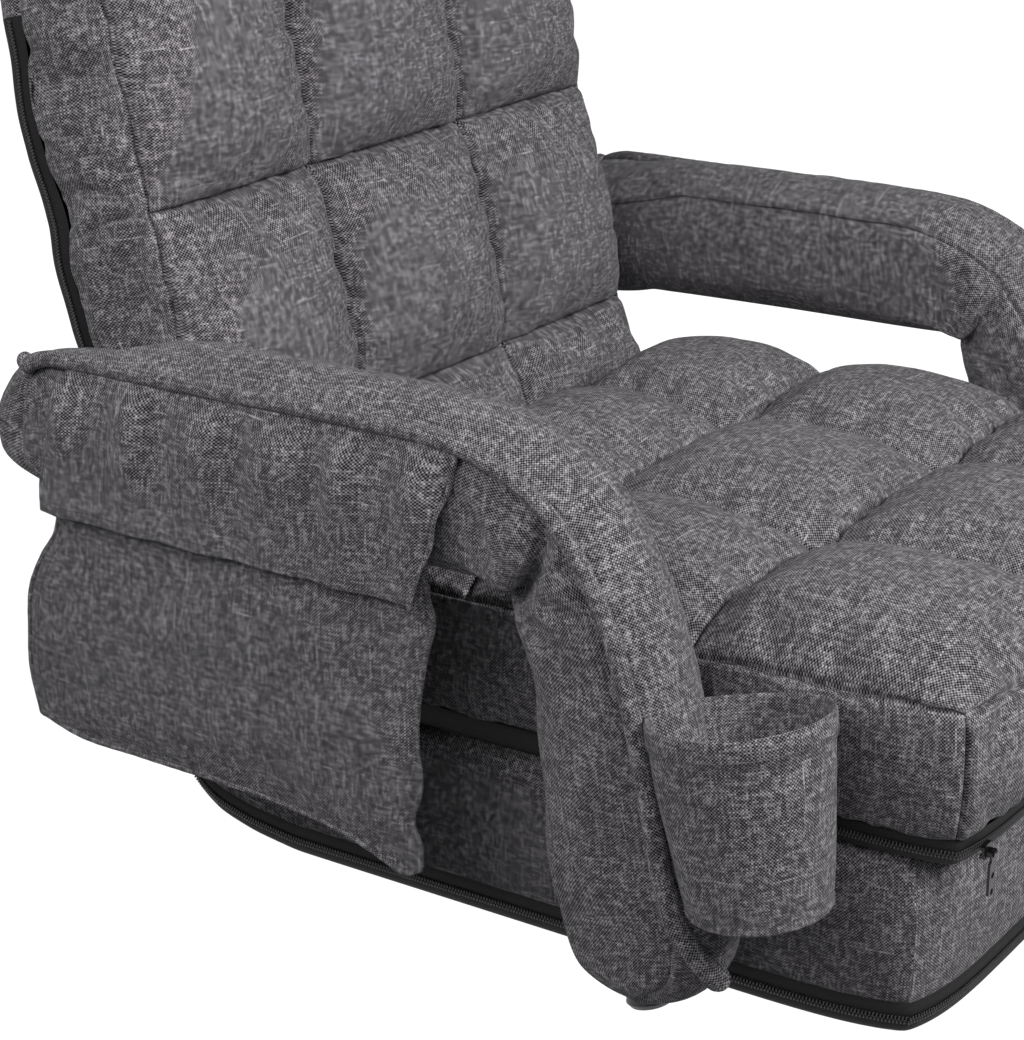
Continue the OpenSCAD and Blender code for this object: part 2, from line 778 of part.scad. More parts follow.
module elbow_pin(s) {
    color(zinc) on_side(s) translate([0, -elbow_y, elbow_z]) {
        bar_x(pin_r, ear_in, ear_out);
        bar_x(pin_r + 2.5, ear_out, ear_out + 1.5);
    }
}

module leg_foot(s) {
    color(plastic) on_side(s) at_elbow() translate([arm_x, 0, -foot_len]) difference() {
        union() {
            cylinder(r1 = foot_d / 2 - 2, r2 = foot_d / 2, h = 3);
            translate([0, 0, 3]) cylinder(r1 = foot_d / 2, r2 = tube_r + 2, h = foot_h - 3);
        }
        translate([0, 0, 4]) cylinder(r = tube_r, h = foot_h);
    }
}

// Side view of the leg's padding, hollowed at the top to pass round the nose
module leg_profile() {
    wide = leg_front + leg_rear;
    mid = (leg_rear - leg_front) / 2;
    difference() {
        union() {
            translate([-leg_front, -leg_len + wide / 2]) square([wide, leg_len - wide / 2 - 12]);
            translate([mid, -leg_len + wide / 2]) circle(wide / 2);
        }
        circle(saddle_r);
        rotate(45) translate([0, -leg_rear - leg_front]) square(2 * (leg_rear + leg_front));
    }
}

module leg_pad(s) {
    wide = leg_front + leg_rear;
    mid = (leg_rear - leg_front) / 2;
    color(linen) on_side(s) at_elbow() difference() {
        intersection() {
            sideways(arm_in, arm_w) leg_profile();
            translate([arm_x, mid, -leg_len - 1]) linear_extrude(leg_len + 1) round_rect(arm_w, wide, pad_edge);
        }
        translate([arm_x, 0, -foot_len]) cylinder(r = tube_r + 0.4, h = foot_len);
        translate([arm_x, 0, -foot_len]) cylinder(r = foot_d / 2 + 0.4, h = foot_h + 4);
        translate([0, 0, -link]) {
            bar_x(bush_r + 0.5, arm_x - bush_len / 2 - 0.5, arm_x + bush_len / 2 + 2);
            bar_x(pin_r + 0.5, arm_in - 1, arm_x);
        }
    }
}

// Cup holder: a tapering fabric cup sewn to the front of the right leg
cup_x = -max(arm_x + 15, arm_in - arm_gap + 3 + cup_r);
cup_tilt = atan2(cup_r - cup_floor_r, cup_h);

module cup_holder() {
    mouth = [cup_x, -leg_front - seat_gap - cup_r, -cup_down];
    color(linen) at_elbow() translate(mouth) rotate([cup_tilt, 0, 0]) translate([0, 0, -cup_h])
        rotate_extrude() polygon([[0, 0], [cup_floor_r - 8, 0], [cup_floor_r - 2, 3],
            [cup_floor_r, 10], [cup_r, cup_h], [cup_r - cup_t, cup_h], [cup_floor_r - cup_t, 11],
            [cup_floor_r - 6, cup_t + 2], [0, cup_t]]);
}

// Side pocket: a flat bag with an open mouth under a flap, on the outside of the right arm
function pouch_outline(i) =
    let (f = pouch_front, r = pouch_front + pocket_len, m = pocket_mouth, b = pocket_low)
    [[f + i, m], [f + 4 + i, m - 110], [f + i, b + 8], [f + 4 + i, b - 10 + i], [f + 16, b - 13 + i],
    [f + 60, b + i], [f + 0.72 * pocket_len, b + 12 + i], [r - 14 - i, b + 16 + i], [r - i, b + 44],
    [r - 2 - i, m - 106], [r - 30 - i, m - 44], [r - 32 - i, m]];

module pocket_pouch() {
    back_top = arm_top - 16;
    i = pocket_fabric;
    color(linen) on_side(right) {
        difference() {
            sideways(pouch_in, pouch_out - pouch_in) polygon(pouch_outline(0));
            sideways(pouch_in + i, pocket_room) union() {
                polygon(pouch_outline(i));
                translate([pouch_front + i, pocket_mouth - 1]) square([pocket_len - 32 - 2 * i, 10]);
            }
        }
        translate([pouch_in, pouch_front, pocket_mouth]) cube([i, pocket_len - 34, back_top - pocket_mouth]);
    }
}

module pocket_flap() {
    mouth_gap = flap_in - flap_top_in;
    drop = 1.6 * mouth_gap + 18;
    run = pocket_len - 18;
    color(linen) on_side(right) intersection() {
        translate([0, far, 0]) rotate([90, 0, 0]) linear_extrude(2 * far) polygon([
            [flap_top_in, flap_top], [flap_top_in + flap_t, flap_top], [flap_in + flap_t, flap_top - drop],
            [flap_in + flap_t, flap_low], [flap_in, flap_low], [flap_in, flap_top - drop - 1],
            [flap_top_in, flap_top - 4]]);
        sideways(pouch_in, far) polygon([[pouch_front - 23, flap_top + 1], [pouch_front - 3, flap_low + 4],
            [pouch_front + 1, flap_low], [pouch_front + run - 4, flap_low], [pouch_front + run, flap_low + 5],
            [pouch_front + run - 20, flap_top + 1]]);
    }
}

// Zip slider on the cushion's front edge and the tab that swings from its bail
module zip_slider() {
    y0 = chain_y - seat_gap;
    color(black) translate([slider_x, 0, frame_z]) difference() {
        union() {
            translate([-slider_l / 2, y0 - slider_t, -slider_h / 2 + 1])
                cube([slider_l, slider_t, slider_h - 2]);
            translate([-slider_l / 2 + 2, y0 - slider_t, -slider_h / 2])
                cube([slider_l - 4, slider_t, slider_h]);
            for (x = [-4, 2.5]) translate([x, bail_y - 1.2, -2.5])
                cube([1.5, y0 - slider_t - bail_y + 1.2, 3]);
            translate([0, bail_y, bail_z - frame_z]) bar_x(0.9, -4, 4);
        }
        translate([-slider_l, y0 - slider_t / 2, -zip_w / 4]) cube([2 * slider_l, slider_t, zip_w / 2]);
    }
}

module zip_pull() {
    color(black) translate([slider_x, bail_y, bail_z]) difference() {
        union() {
            bar_x(2.2, -2.2, 2.2);
            translate([-2.2, -0.8, -6]) cube([4.4, 1.6, 6]);
            translate([0, 0.8, -5]) rotate([90, 0, 0]) linear_extrude(1.6) translate([0, -pull_len / 2 + 3])
                round_rect(pull_w, pull_len - 6, 2);
        }
        bar_x(0.9 + run_fit, -3, 3);
        for (z = [-pull_len + 4.5, -pull_len / 2 + 1]) translate([0, 2, z - 1]) rotate([90, 0, 0])
            cylinder(r = pull_w / 2 - 2, h = 4);
    }
}

base_cover();
base_underside();
base_zip_band();
base_zip_chain();
base_foam();
seat_frame();
seat_underside();
seat_zip_chain();
seat_cushion();
hinge_fixed_plates();
hinge_pins();
ratchet_pawls();
pawl_rivets();
leg_brackets();
leg_pivot_pins();
back_cushion();
back_foam();
back_cover();
back_rear_panel();
back_zip_chain();
back_frame();
hinge_moving_plates();
plate_bolts();
arm_stubs();
arm_rail(right);  // right_arm_rail
arm_pad(right);  // right_arm_pad
leg_post(right);  // right_leg_post
leg_pad(right);  // right_leg_pad
leg_foot(right);  // right_leg_foot
elbow_pin(right);  // right_elbow_pin
arm_rail(left);  // left_arm_rail
arm_pad(left);  // left_arm_pad
leg_post(left);  // left_leg_post
leg_pad(left);  // left_leg_pad
leg_foot(left);  // left_leg_foot
elbow_pin(left);  // left_elbow_pin
cup_holder();
pocket_pouch();
pocket_flap();
zip_slider();
zip_pull();
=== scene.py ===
import math

import bmesh
import bpy
import numpy as np
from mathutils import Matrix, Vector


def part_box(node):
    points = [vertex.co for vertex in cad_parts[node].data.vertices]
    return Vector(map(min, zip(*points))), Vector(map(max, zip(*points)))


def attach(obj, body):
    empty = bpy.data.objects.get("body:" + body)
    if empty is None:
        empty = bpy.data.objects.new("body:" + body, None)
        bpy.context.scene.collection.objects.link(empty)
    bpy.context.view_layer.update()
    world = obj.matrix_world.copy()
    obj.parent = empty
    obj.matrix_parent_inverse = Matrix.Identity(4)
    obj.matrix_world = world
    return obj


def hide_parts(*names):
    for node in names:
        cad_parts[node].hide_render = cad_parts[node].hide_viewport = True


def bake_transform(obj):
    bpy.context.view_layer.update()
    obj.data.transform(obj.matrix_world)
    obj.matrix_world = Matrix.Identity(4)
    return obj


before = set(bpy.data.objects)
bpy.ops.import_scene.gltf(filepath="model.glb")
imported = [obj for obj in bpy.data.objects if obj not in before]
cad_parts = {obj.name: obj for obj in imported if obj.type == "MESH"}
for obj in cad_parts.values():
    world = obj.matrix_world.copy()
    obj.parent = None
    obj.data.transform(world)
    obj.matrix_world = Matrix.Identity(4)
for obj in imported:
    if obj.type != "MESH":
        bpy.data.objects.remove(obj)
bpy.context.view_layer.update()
scene = bpy.context.scene

# The camera stands where the photograph was taken from: in front of the chair's right
# corner and above it, looking down past the right arm.


def added(name, data):
    """A new object, linked to the scene."""
    made = bpy.data.objects.new(name, data)
    scene.collection.objects.link(made)
    return made


camera_data = bpy.data.cameras.new("camera")
camera_data.lens = 95.84
camera_data.sensor_width = 36
camera_data.sensor_fit = "HORIZONTAL"
camera = added("camera", camera_data)
camera.location = (-1.550, -0.853, 0.840)
camera.rotation_euler = [math.radians(angle) for angle in (69.9, 0, -56.5)]
scene.camera = camera

# A studio: a wide white floor and one large lamp in front of the chair and above it. Weaker
# ones stand near the front, over the right arm, behind it and low behind the left arm.


def wired(tree, kind, *inputs, output=0, **settings):
    """The output or outputs of a new node of this kind. Each input is a value, another
    node's output, or None."""
    made = tree.nodes.new(kind)
    for name, value in settings.items():
        setattr(made, name, value)
    for socket, value in zip(made.inputs, inputs):
        if isinstance(value, bpy.types.NodeSocket):
            tree.links.new(value, socket)
        elif value is not None:
            socket.default_value = value
    return made.outputs[output] if made.outputs else made


def new_finish(name):
    """A new material with its node tree and a maker of math nodes for it."""
    made = bpy.data.materials.new(name)
    made.use_nodes = True

    def calc(operation, *inputs, clamp=False):
        return wired(made.node_tree, "ShaderNodeMath", *inputs, operation=operation, use_clamp=clamp)

    return made, made.node_tree, calc


world = bpy.data.worlds.new("studio")
world.use_nodes = True
world_tree = world.node_tree
world_tree.nodes.clear()
seen = wired(world_tree, "ShaderNodeLightPath", output="Is Camera Ray")
around = wired(world_tree, "ShaderNodeBackground", (0.60, 0.62, 0.66, 1), 0.03)
white = wired(world_tree, "ShaderNodeBackground", (1, 1, 1, 1), 1.0)
mixed = wired(world_tree, "ShaderNodeMixShader", seen, around, white)
wired(world_tree, "ShaderNodeOutputWorld", mixed)
scene.world = world
scene.view_settings.view_transform = "Standard"

lamp_aim = (0, 0, 0.25)
for name, place, size, power in (
    ("key", (0.4, -2.6, 2.2), 1.0, 51),
    ("near", (-0.45, -1.5, 1.45), 0.9, 13),
    ("side", (-1.4, 0.3, 1.3), 1.0, 7.5),
    ("rear", (-1.7, 1.2, 1.6), 1.0, 7),
    ("left", (1.7, 1.7, 0.6), 1.0, 8),
    ("fill", (-2.8, -1.0, 1.9), 1.4, 10.5),
):
    lamp_data = bpy.data.lights.new(name, "AREA")
    lamp_data.size = size
    lamp_data.energy = power
    lamp = added(name, lamp_data)
    lamp.location = place
    back = [place[axis] - lamp_aim[axis] for axis in range(3)]
    flat = math.hypot(back[0], back[1])
    lamp.rotation_euler = (math.atan2(flat, back[2]), 0, math.atan2(back[0], -back[1]))

floor_mesh = bpy.data.meshes.new("floor")
floor_mesh.from_pydata([(-9, -9, 0), (9, -9, 0), (9, 9, 0), (-9, 9, 0)], [], [(0, 1, 2, 3)])
floor = added("floor", floor_mesh)
floor_paint, floor_tree, floor_calc = new_finish("floor_paint")
floor_tree.nodes.clear()
floor_rays = floor_tree.nodes.new("ShaderNodeLightPath").outputs
floor_seen = floor_calc("MAXIMUM", floor_rays["Is Camera Ray"], floor_rays["Is Glossy Ray"])
floor_seen = floor_calc("MAXIMUM", floor_seen, floor_rays["Is Transmission Ray"])
floor_grey = wired(floor_tree, "ShaderNodeBsdfDiffuse", (0.20, 0.20, 0.205, 1))
floor_white = wired(floor_tree, "ShaderNodeEmission", (1, 1, 1, 1), 1.2)
floor_pale = wired(floor_tree, "ShaderNodeBsdfDiffuse", (0.93, 0.93, 0.93, 1))
floor_view = wired(floor_tree, "ShaderNodeMixShader", 0.16, floor_white, floor_pale)
floor_mixed = wired(floor_tree, "ShaderNodeMixShader", floor_seen, floor_grey, floor_view)
wired(floor_tree, "ShaderNodeOutputMaterial", floor_mixed)
floor_mesh.materials.append(floor_paint)

# Linen-look upholstery cloth: a plain weave of grey yarns that change in tone along their
# length, with light flecks and short bright slubs both ways, and painted shade between the
# yarns. It follows the cut of each panel, so it reads the panel's own cloth coordinates, in metres.


def shaded(tree, share, dark, light):
    """The colour at this share of the way from dark to light."""
    return wired(tree, "ShaderNodeMix", share, None, None, None, None, None, dark, light,
                 output=2, data_type="RGBA")


def surfaced(tree, colour, height, strength, distance, settings):
    """Gives a material its colour, a fine relief from the height, and other settings."""
    bump = tree.nodes.new("ShaderNodeBump")
    bump.inputs["Strength"].default_value = strength
    bump.inputs["Distance"].default_value = distance
    tree.links.new(height, bump.inputs["Height"])
    shader = tree.nodes["Principled BSDF"]
    for title, value in {"Base Color": colour, "Normal": bump.outputs[0], **settings}.items():
        if isinstance(value, bpy.types.NodeSocket):
            tree.links.new(value, shader.inputs[title])
        else:
            shader.inputs[title].default_value = value


def linen_cloth(name, dark, light, pitch=0.00102):
    cloth, tree, calc = new_finish(name)
    coordinates = wired(tree, "ShaderNodeUVMap", uv_map="cloth")
    drift = wired(tree, "ShaderNodeTexNoise", coordinates, None, 9.0, 1.0, output=1)
    moved = wired(tree, "ShaderNodeVectorMath", drift, (0.0012, 0.0012, 0), coordinates,
                  operation="MULTIPLY_ADD")
    places = wired(tree, "ShaderNodeSeparateXYZ", moved, output=slice(0, 2))
    across, along = [calc("DIVIDE", place, pitch) for place in places]

    def yarn(a, b, seed):
        """Slow changes of tone along each yarn."""
        place = wired(tree, "ShaderNodeCombineXYZ", a, calc("MULTIPLY", b, 0.012), seed)
        return wired(tree, "ShaderNodeTexNoise", place, None, 1.0, 0.0)

    def wave(a):
        return calc("SINE", calc("MULTIPLY", a, math.pi))

    def dashes(a, b, length, seed):
        """A chance of its own for each short length of each yarn."""
        which = calc("FLOOR", a)
        run = calc("MULTIPLY_ADD", which, 0.37, calc("DIVIDE", b, length))
        cell = wired(tree, "ShaderNodeCombineXYZ", which, calc("FLOOR", run), seed)
        return wired(tree, "ShaderNodeTexWhiteNoise", cell)

    wave_a, wave_b = wave(across), wave(along)
    over = calc("MULTIPLY_ADD", calc("MULTIPLY", wave_a, wave_b), 2.2, 0.5, clamp=True)
    height = wired(tree, "ShaderNodeMix", over, None, calc("ABSOLUTE", wave_b),
                   calc("ABSOLUTE", wave_a), data_type="FLOAT")
    patches = wired(tree, "ShaderNodeTexNoise", coordinates, None, 9.0, 2.0)
    flecks = [calc("POWER", dashes(a, b, 4.0, seed), 2.2)
              for a, b, seed in ((across, along, 5.0), (along, across, 9.0))]
    yarns = calc("ADD", yarn(across, along, 3.0), yarn(along, across, 17.0))
    tone = calc("MULTIPLY", yarns, 0.45)
    # The threads' relief (height) is added to the tone too: painted shade in the gaps between yarns and
    # painted highlight on their crowns.
    for part, weight in ((calc("ADD", *flecks), 1.0), (over, 1.5), (height, 0.16), (patches, 0.16)):
        tone = calc("MULTIPLY_ADD", part, weight, tone)
    under = calc("SUBTRACT", 1.0, over)
    for a, b, seed, on_top in ((across, along, 31.0, over), (along, across, 43.0, under)):
        bright = calc("MULTIPLY_ADD", on_top, 0.9, 0.25)
        for length, often in ((23.0, 0.004), (10.0, 0.006)):
            slub = calc("GREATER_THAN", dashes(a, b, length, seed + length), 1 - often)
            tone = calc("MULTIPLY_ADD", slub, bright, tone)
    share = calc("POWER", wired(tree, "ShaderNodeMapRange", tone, 0.86, 3.8, 0.0, 1.0), 1.45)
    surfaced(tree, shaded(tree, share, dark, light), height, strength=0.6, distance=0.0004, settings={
        "Roughness": 0.95, "Specular IOR Level": 0.15, "Sheen Weight": 0.06, "Sheen Roughness": 0.5})
    return cloth


linen = linen_cloth("linen", (0.0075, 0.0068, 0.0082, 1), (0.66, 0.63, 0.665, 1))

# The seat cushion: a foam block in a sewn linen cover. Its top is drawn down along two
# channels each way into nine tufts, and its wall is one strip sewn to the top all round.


def ramp(gap, length):
    """From 0 to 1 over this length."""
    return np.clip(gap / length, 0, 1)


def hump(gap, width):
    """1 where there is no gap, and almost 0 two widths away."""
    return np.exp(-(gap / width) ** 2)


def spaced(marks, step):
    """Places along an edge, even between the marks and about one step apart."""
    found = []
    for start, end in zip(marks[:-1], marks[1:]):
        count = max(1 if end - start < step / 2 else 2, round((end - start) / step))
        found.extend(start + (end - start) * i / count for i in range(count))
    return np.array(found + [marks[-1]])


def beside(marks, gap=0.0017):
    """The marks with a line close to each, so that a sewn line can be a narrow groove."""
    near = [mark + shift for mark in marks for shift in (-gap, 0, gap)]
    return [mark for mark in near if marks[0] <= mark <= marks[-1]]


def swelling(places, marks, power=0.5):
    """0 on each mark and up to 1 halfway between two of them."""
    found = np.zeros(len(places))
    for start, end in zip(marks[:-1], marks[1:]):
        inside = (places >= start) & (places <= end)
        share = np.clip((places[inside] - start) / (end - start), 0, 1)
        found[inside] = np.maximum(found[inside], np.sin(math.pi * share) ** power)
    return found


def gap_to(places, marks):
    return np.min(np.abs(places[:, None] - np.array(marks)[None, :]), axis=1)


def wandering(places, chance, shortest, longest):
    """A smooth uneven line, of a few waves between the two lengths."""
    found = np.zeros(len(places))
    for _ in range(5):
        length = chance.uniform(shortest, longest)
        found += np.sin(2 * math.pi * (places / length + chance.random()))
    return found / 3


def puckers(u, v, us, vs, chance, reach=0.011):
    """Small gathers in the cloth beside each sewn line, up to about 1."""
    found = np.zeros((len(u), len(v)))
    for line in us:
        gap = np.abs(u - line) / reach
        found += (gap * np.exp(1 - gap))[:, None] * wandering(v, chance, 0.018, 0.05)[None, :]
    for line in vs:
        gap = np.abs(v - line) / reach
        found += (gap * np.exp(1 - gap))[None, :] * wandering(u, chance, 0.018, 0.05)[:, None]
    return found


def joined(*parts):
    """Places or directions from their coordinates, each a grid or one value for all."""
    return np.stack(np.broadcast_arrays(*parts), -1)


def laid(u, v, inset, height, round_in):
    """A grid of points over a block at this height, its rim drawn in by the inset. Its corners
    are rounded in, or only the far ones where the block's near end has straight lines out to
    a place."""
    centre_u, centre_v = (u[0] + u[-1]) / 2, (v[0] + v[-1]) / 2
    half_u, half_v = (u[-1] - u[0]) / 2, (v[-1] - v[0]) / 2
    a, b = ((u - centre_u) / half_u)[:, None], ((v - centre_v) / half_v)[None, :]
    round_in, straight = round_in if isinstance(round_in, tuple) else (round_in, None)
    corner = np.where((b < 0) & (straight is not None), 0, round_in)
    narrowed = half_u - inset - corner * np.abs(b) ** 9
    plan_u = centre_u + a * narrowed
    plan_v = centre_v + b * (half_v - inset - corner * np.abs(a) ** 9)
    if straight is not None:
        out = np.abs(a) * half_u
        beyond = np.maximum(out - straight, 0) * (narrowed - straight) / (half_u - straight)
        near = ramp(0.25 - v, 0.1)[None, :]
        plan_u = plan_u + near * (centre_u + np.sign(a) * (np.minimum(out, straight) + beyond) - plan_u)
    return joined(plan_u, plan_v, height)


def rim_of(grid):
    """The rim of a grid, in order and back to its first point."""
    return np.concatenate([grid[:, 0], grid[-1, 1:], grid[-2::-1, -1], grid[0, -2::-1]])


def cloth_on(u, v):
    return joined(u[:, None], v[None, :])


def run_along(points):
    """How far along a path each of its points lies."""
    return np.concatenate([[0], np.cumsum(np.linalg.norm(np.diff(points, axis=0), axis=1))])


def strip_round(u, v, profile, round_in):
    """A strip of cloth round a block. The profile lists how far each line of it is drawn in
    and how high it lies."""
    rings = [rim_of(laid(u, v, inset, height, round_in)) for inset, height in profile]
    points = np.stack(rings, 1)
    along = run_along(rings[0])
    down = run_along(profile) + 0.7
    return points, cloth_on(along, down)


SEWN = 2.0  # how a line is marked that is both held and drawn in by its stitches


def edged(strip):
    """How firmly a strip is held that is sewn along both its edges."""
    firm = np.zeros(strip.shape[:2])
    firm[:, [0, -1]] = SEWN
    return firm


def bowed(start, end, count, swell):
    """A profile between two seams that swells out between them."""
    shares = np.linspace(0, 1, count + 1)
    shares = np.concatenate([[0, 0.022], shares[1:-1], [0.978, 1]])
    out = swell * np.sin(math.pi * shares) ** 0.6
    return [(start[0] + (end[0] - start[0]) * share - bulge, start[1] + (end[1] - start[1]) * share)
            for share, bulge in zip(shares, out)]


def tufted(u, v, us, vs, seam, groove, crown, draw, round_in, chance, power=0.5, dip=0.004, sag=0.0,
           gather=0.0016, rise=0.0):
    """The top of a tufted block and where it is held: on every sewn line. The seams rise
    between their crossings, and each tuft is crowned above them."""
    edge_u = np.sin(math.pi / 2 * ramp(np.minimum(u - u[0], u[-1] - u), 0.045))
    edge_v = np.sin(math.pi / 2 * ramp(np.minimum(v - v[0], v[-1] - v), 0.045))
    swell_u, swell_v = swelling(u, us, power)[:, None], swelling(v, vs, power)[None, :]
    puff = swell_u * swell_v
    near_u = np.clip(1 - gap_to(u, us[1:-1]) / 0.03, 0, 1)
    near_v = np.clip(1 - gap_to(v, vs[1:-1]) / 0.03, 0, 1)
    height = seam + groove * edge_u[:, None] * edge_v[None, :] + crown * puff
    height = height + rise * edge_u[:, None] * edge_v[None, :] * (1 - (1 - swell_u) * (1 - swell_v))
    height = height - dip * near_u[:, None] * near_v[None, :]
    height = height + gather * puckers(u, v, us, vs, chance) * edge_u[:, None] * edge_v[None, :]
    top = laid(u, v, draw, height, round_in)
    top[:, :, 1] -= sag * puff
    held = (gap_to(u, us) < 1e-6)[:, None] | (gap_to(v, vs) < 1e-6)[None, :]
    return top, cloth_on(u, v), np.where(held, SEWN, 0)


def read(items, what, width=1, kind=np.float32):
    """One property of all of a mesh's items, in rows of this width."""
    found = np.zeros(len(items) * width, kind)
    items.foreach_get(what, found)
    return found if width == 1 else found.reshape(-1, width)


def sewn(name, grids, weld=2e-4):
    """One mesh of grids of points, each with its cloth coordinates, how firmly it is held and,
    where some of its faces are left out, which ones stay."""
    verts, faces, coords, held = [], [], [], []
    for points, cloth, firm, *stay in grids:
        rows, columns = points.shape[:2]
        start = len(verts)
        verts.extend(points.reshape(-1, 3).tolist())
        coords.extend(cloth.reshape(-1, 2).tolist())
        held.extend(np.broadcast_to(firm, (rows, columns)).ravel().tolist())
        faces.extend(
            (start + i * columns + j, start + i * columns + j + 1,
             start + (i + 1) * columns + j + 1, start + (i + 1) * columns + j)
            for i in range(rows - 1) for j in range(columns - 1) if not stay or stay[0][i, j])
    mesh = bpy.data.meshes.new(name)
    mesh.from_pydata(verts, [], faces)
    layer = mesh.uv_layers.new(name="cloth")
    index = read(mesh.loops, "vertex_index", kind=np.int32)
    layer.data.foreach_set("uv", np.array(coords, np.float32)[index].ravel())
    mesh.attributes.new("held", "FLOAT", "POINT").data.foreach_set("value", np.array(held, np.float32))
    shape = bmesh.new()
    shape.from_mesh(mesh)
    bmesh.ops.remove_doubles(shape, verts=shape.verts, dist=weld)
    bmesh.ops.delete(shape, geom=[vert for vert in shape.verts if not vert.link_faces], context="VERTS")
    bmesh.ops.recalc_face_normals(shape, faces=shape.faces)
    shape.to_mesh(mesh)
    shape.free()
    mesh.shade_smooth()
    return added(name, mesh)


def points_of(piece):
    return read(piece.data.vertices, "co", 3, np.float64)


def settle(piece, points):
    piece.data.vertices.foreach_set("co", points.astype(np.float32).ravel())
    piece.data.update()


def firmness(piece):
    return read(piece.data.attributes["held"].data, "value")


def drawn_in(piece, depth):
    """Pulls the sewn lines into the filling, as the stitches do."""
    normals = read(piece.data.vertex_normals, "vector", 3)
    sewn_down = (firmness(piece) >= SEWN)[:, None]
    settle(piece, points_of(piece) - depth * normals * sewn_down)
    return piece


def filled(piece, pressure=5.0, spare=0.04, cap=0.025, frames=20, bend=0.4, stiff=12.0):
    """Blows the cover out as its filling does, with spare cloth and held at its seams."""
    rest = points_of(piece)
    held = np.minimum(firmness(piece), 1)
    group = piece.vertex_groups.new(name="held")
    for level in np.unique(held.round(2)):
        if level > 0:
            group.add(np.nonzero(held.round(2) == level)[0].tolist(), float(level), "REPLACE")
    cloth = piece.modifiers.new("cloth", "CLOTH")
    settings = {
        "vertex_group_mass": "held", "use_pressure": True, "uniform_pressure_force": pressure,
        "shrink_min": -spare, "quality": 5, "mass": 0.25, "tension_stiffness": stiff,
        "compression_stiffness": stiff, "shear_stiffness": 4.0, "bending_stiffness": bend,
        "tension_damping": 8.0, "compression_damping": 8.0, "air_damping": 2.0}
    for setting, value in settings.items():
        setattr(cloth.settings, setting, value)
    cloth.settings.effector_weights.gravity = 0.0
    cloth.collision_settings.use_collision = False
    for moment in range(1, frames + 1):
        scene.frame_set(moment)
    graph = bpy.context.evaluated_depsgraph_get()
    grown = points_of(piece.evaluated_get(graph))
    piece.modifiers.remove(cloth)
    scene.frame_set(1)
    moved = grown - rest
    length = np.linalg.norm(moved, axis=1, keepdims=True)
    settle(piece, rest + moved * np.minimum(1, cap / np.maximum(length, 1e-9)))
    piece.vertex_groups.clear()
    return piece


def smoothed(piece, sharp=0.85):
    """Rounds the cover's faces once it has its shape, and keeps its sewn lines narrow."""
    mesh = piece.data
    held = firmness(piece)
    ends = read(mesh.edges, "vertices", 2, np.int32)
    both = np.minimum(held[ends[:, 0]], held[ends[:, 1]])
    crease = mesh.attributes.new("crease_edge", "FLOAT", "EDGE")
    crease.data.foreach_set("value", np.where(both >= SEWN, sharp, 0).astype(np.float32))
    round_off = piece.modifiers.new("round_off", "SUBSURF")
    round_off.levels = round_off.render_levels = 1
    round_off.boundary_smooth = "PRESERVE_CORNERS"
    return piece


def finished(piece, cloth, body, slot, *nodes):
    """Gives a piece its cloth and the body it rides on, and hides the nodes it stands for; the slot is not
    used.
    """
    piece.data.materials.append(cloth)
    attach(piece, body)
    if nodes:
        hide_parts(*nodes)


seat_low, seat_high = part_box("seat_cushion")
seat_us = [seat_low.x, -0.09, 0.09, seat_high.x]
seat_vs = [seat_low.y, seat_low.y + 0.184, seat_low.y + 0.350, seat_high.y]
seat_seam = seat_low.z + 0.081
seat_round = 0.009
stitch_depth = 0.006
seat_u, seat_v = spaced(beside(seat_us), 0.006), spaced(beside(seat_vs), 0.006)
seat_chance = np.random.default_rng(4)
seat_wall, seat_wall_cloth = strip_round(
    seat_u, seat_v, bowed((0.002, seat_seam), (0.004, seat_low.z), 13, swell=0.004), seat_round)
seat_firm = edged(seat_wall)
seat_corners = np.cumsum([0, len(seat_u) - 1, len(seat_v) - 1, len(seat_u) - 1, len(seat_v) - 1])
seat_firm[seat_corners] = SEWN
seat = sewn("seat_tufts", [
    tufted(seat_u, seat_v, seat_us, seat_vs, seat_seam, groove=0.008, crown=0.020, draw=0.002,
           round_in=seat_round, chance=seat_chance, dip=0.006, rise=0.010),
    (seat_wall, seat_wall_cloth, seat_firm),
    (laid(seat_u, seat_v, 0.004, seat_low.z, seat_round), cloth_on(seat_u, seat_v), 1.0),
])
drawn_in(filled(seat), stitch_depth)
# The arms press the cushion's side walls in beyond one line, the backrest its rear wall.
beside_seat, behind_seat = 0.2580, 0.1930
seat_points = points_of(seat)
out = np.abs(seat_points[:, 0]) - beside_seat
seat_points[:, 0] -= np.sign(seat_points[:, 0]) * 0.75 * np.maximum(out, 0)
seat_points[:, 1] -= 0.75 * np.maximum(seat_points[:, 1] - behind_seat, 0)
settle(seat, seat_points)
finished(smoothed(seat), linen, "base", "linen", "seat_cushion")

# Black lining cloth of the undersides and of the backrest's rear: a close, slightly glossy
# synthetic weave that is zipped to the linen.


def black_weave(name, dark, light, pitch=0.0007):
    cloth, tree, calc = new_finish(name)
    coordinates = wired(tree, "ShaderNodeUVMap", uv_map="cloth")
    places = wired(tree, "ShaderNodeSeparateXYZ", coordinates, output=slice(0, 2))
    waves = [calc("SINE", calc("MULTIPLY", place, math.pi / pitch)) for place in places]
    woven = calc("MULTIPLY", *waves)
    mottle = wired(tree, "ShaderNodeTexNoise", coordinates, None, 700.0, 2.0)
    tone = calc("MULTIPLY_ADD", woven, 0.3, mottle, clamp=True)
    creases = wired(tree, "ShaderNodeTexNoise", coordinates, None, 18.0, 3.0)
    height = calc("MULTIPLY_ADD", creases, 6.0, woven)
    surfaced(tree, shaded(tree, tone, dark, light), height, strength=0.5, distance=0.0003,
             settings={"Roughness": 0.72, "Specular IOR Level": 0.3})
    return cloth


lining = black_weave("black_lining", (0.0035, 0.0035, 0.004, 1), (0.019, 0.019, 0.021, 1))

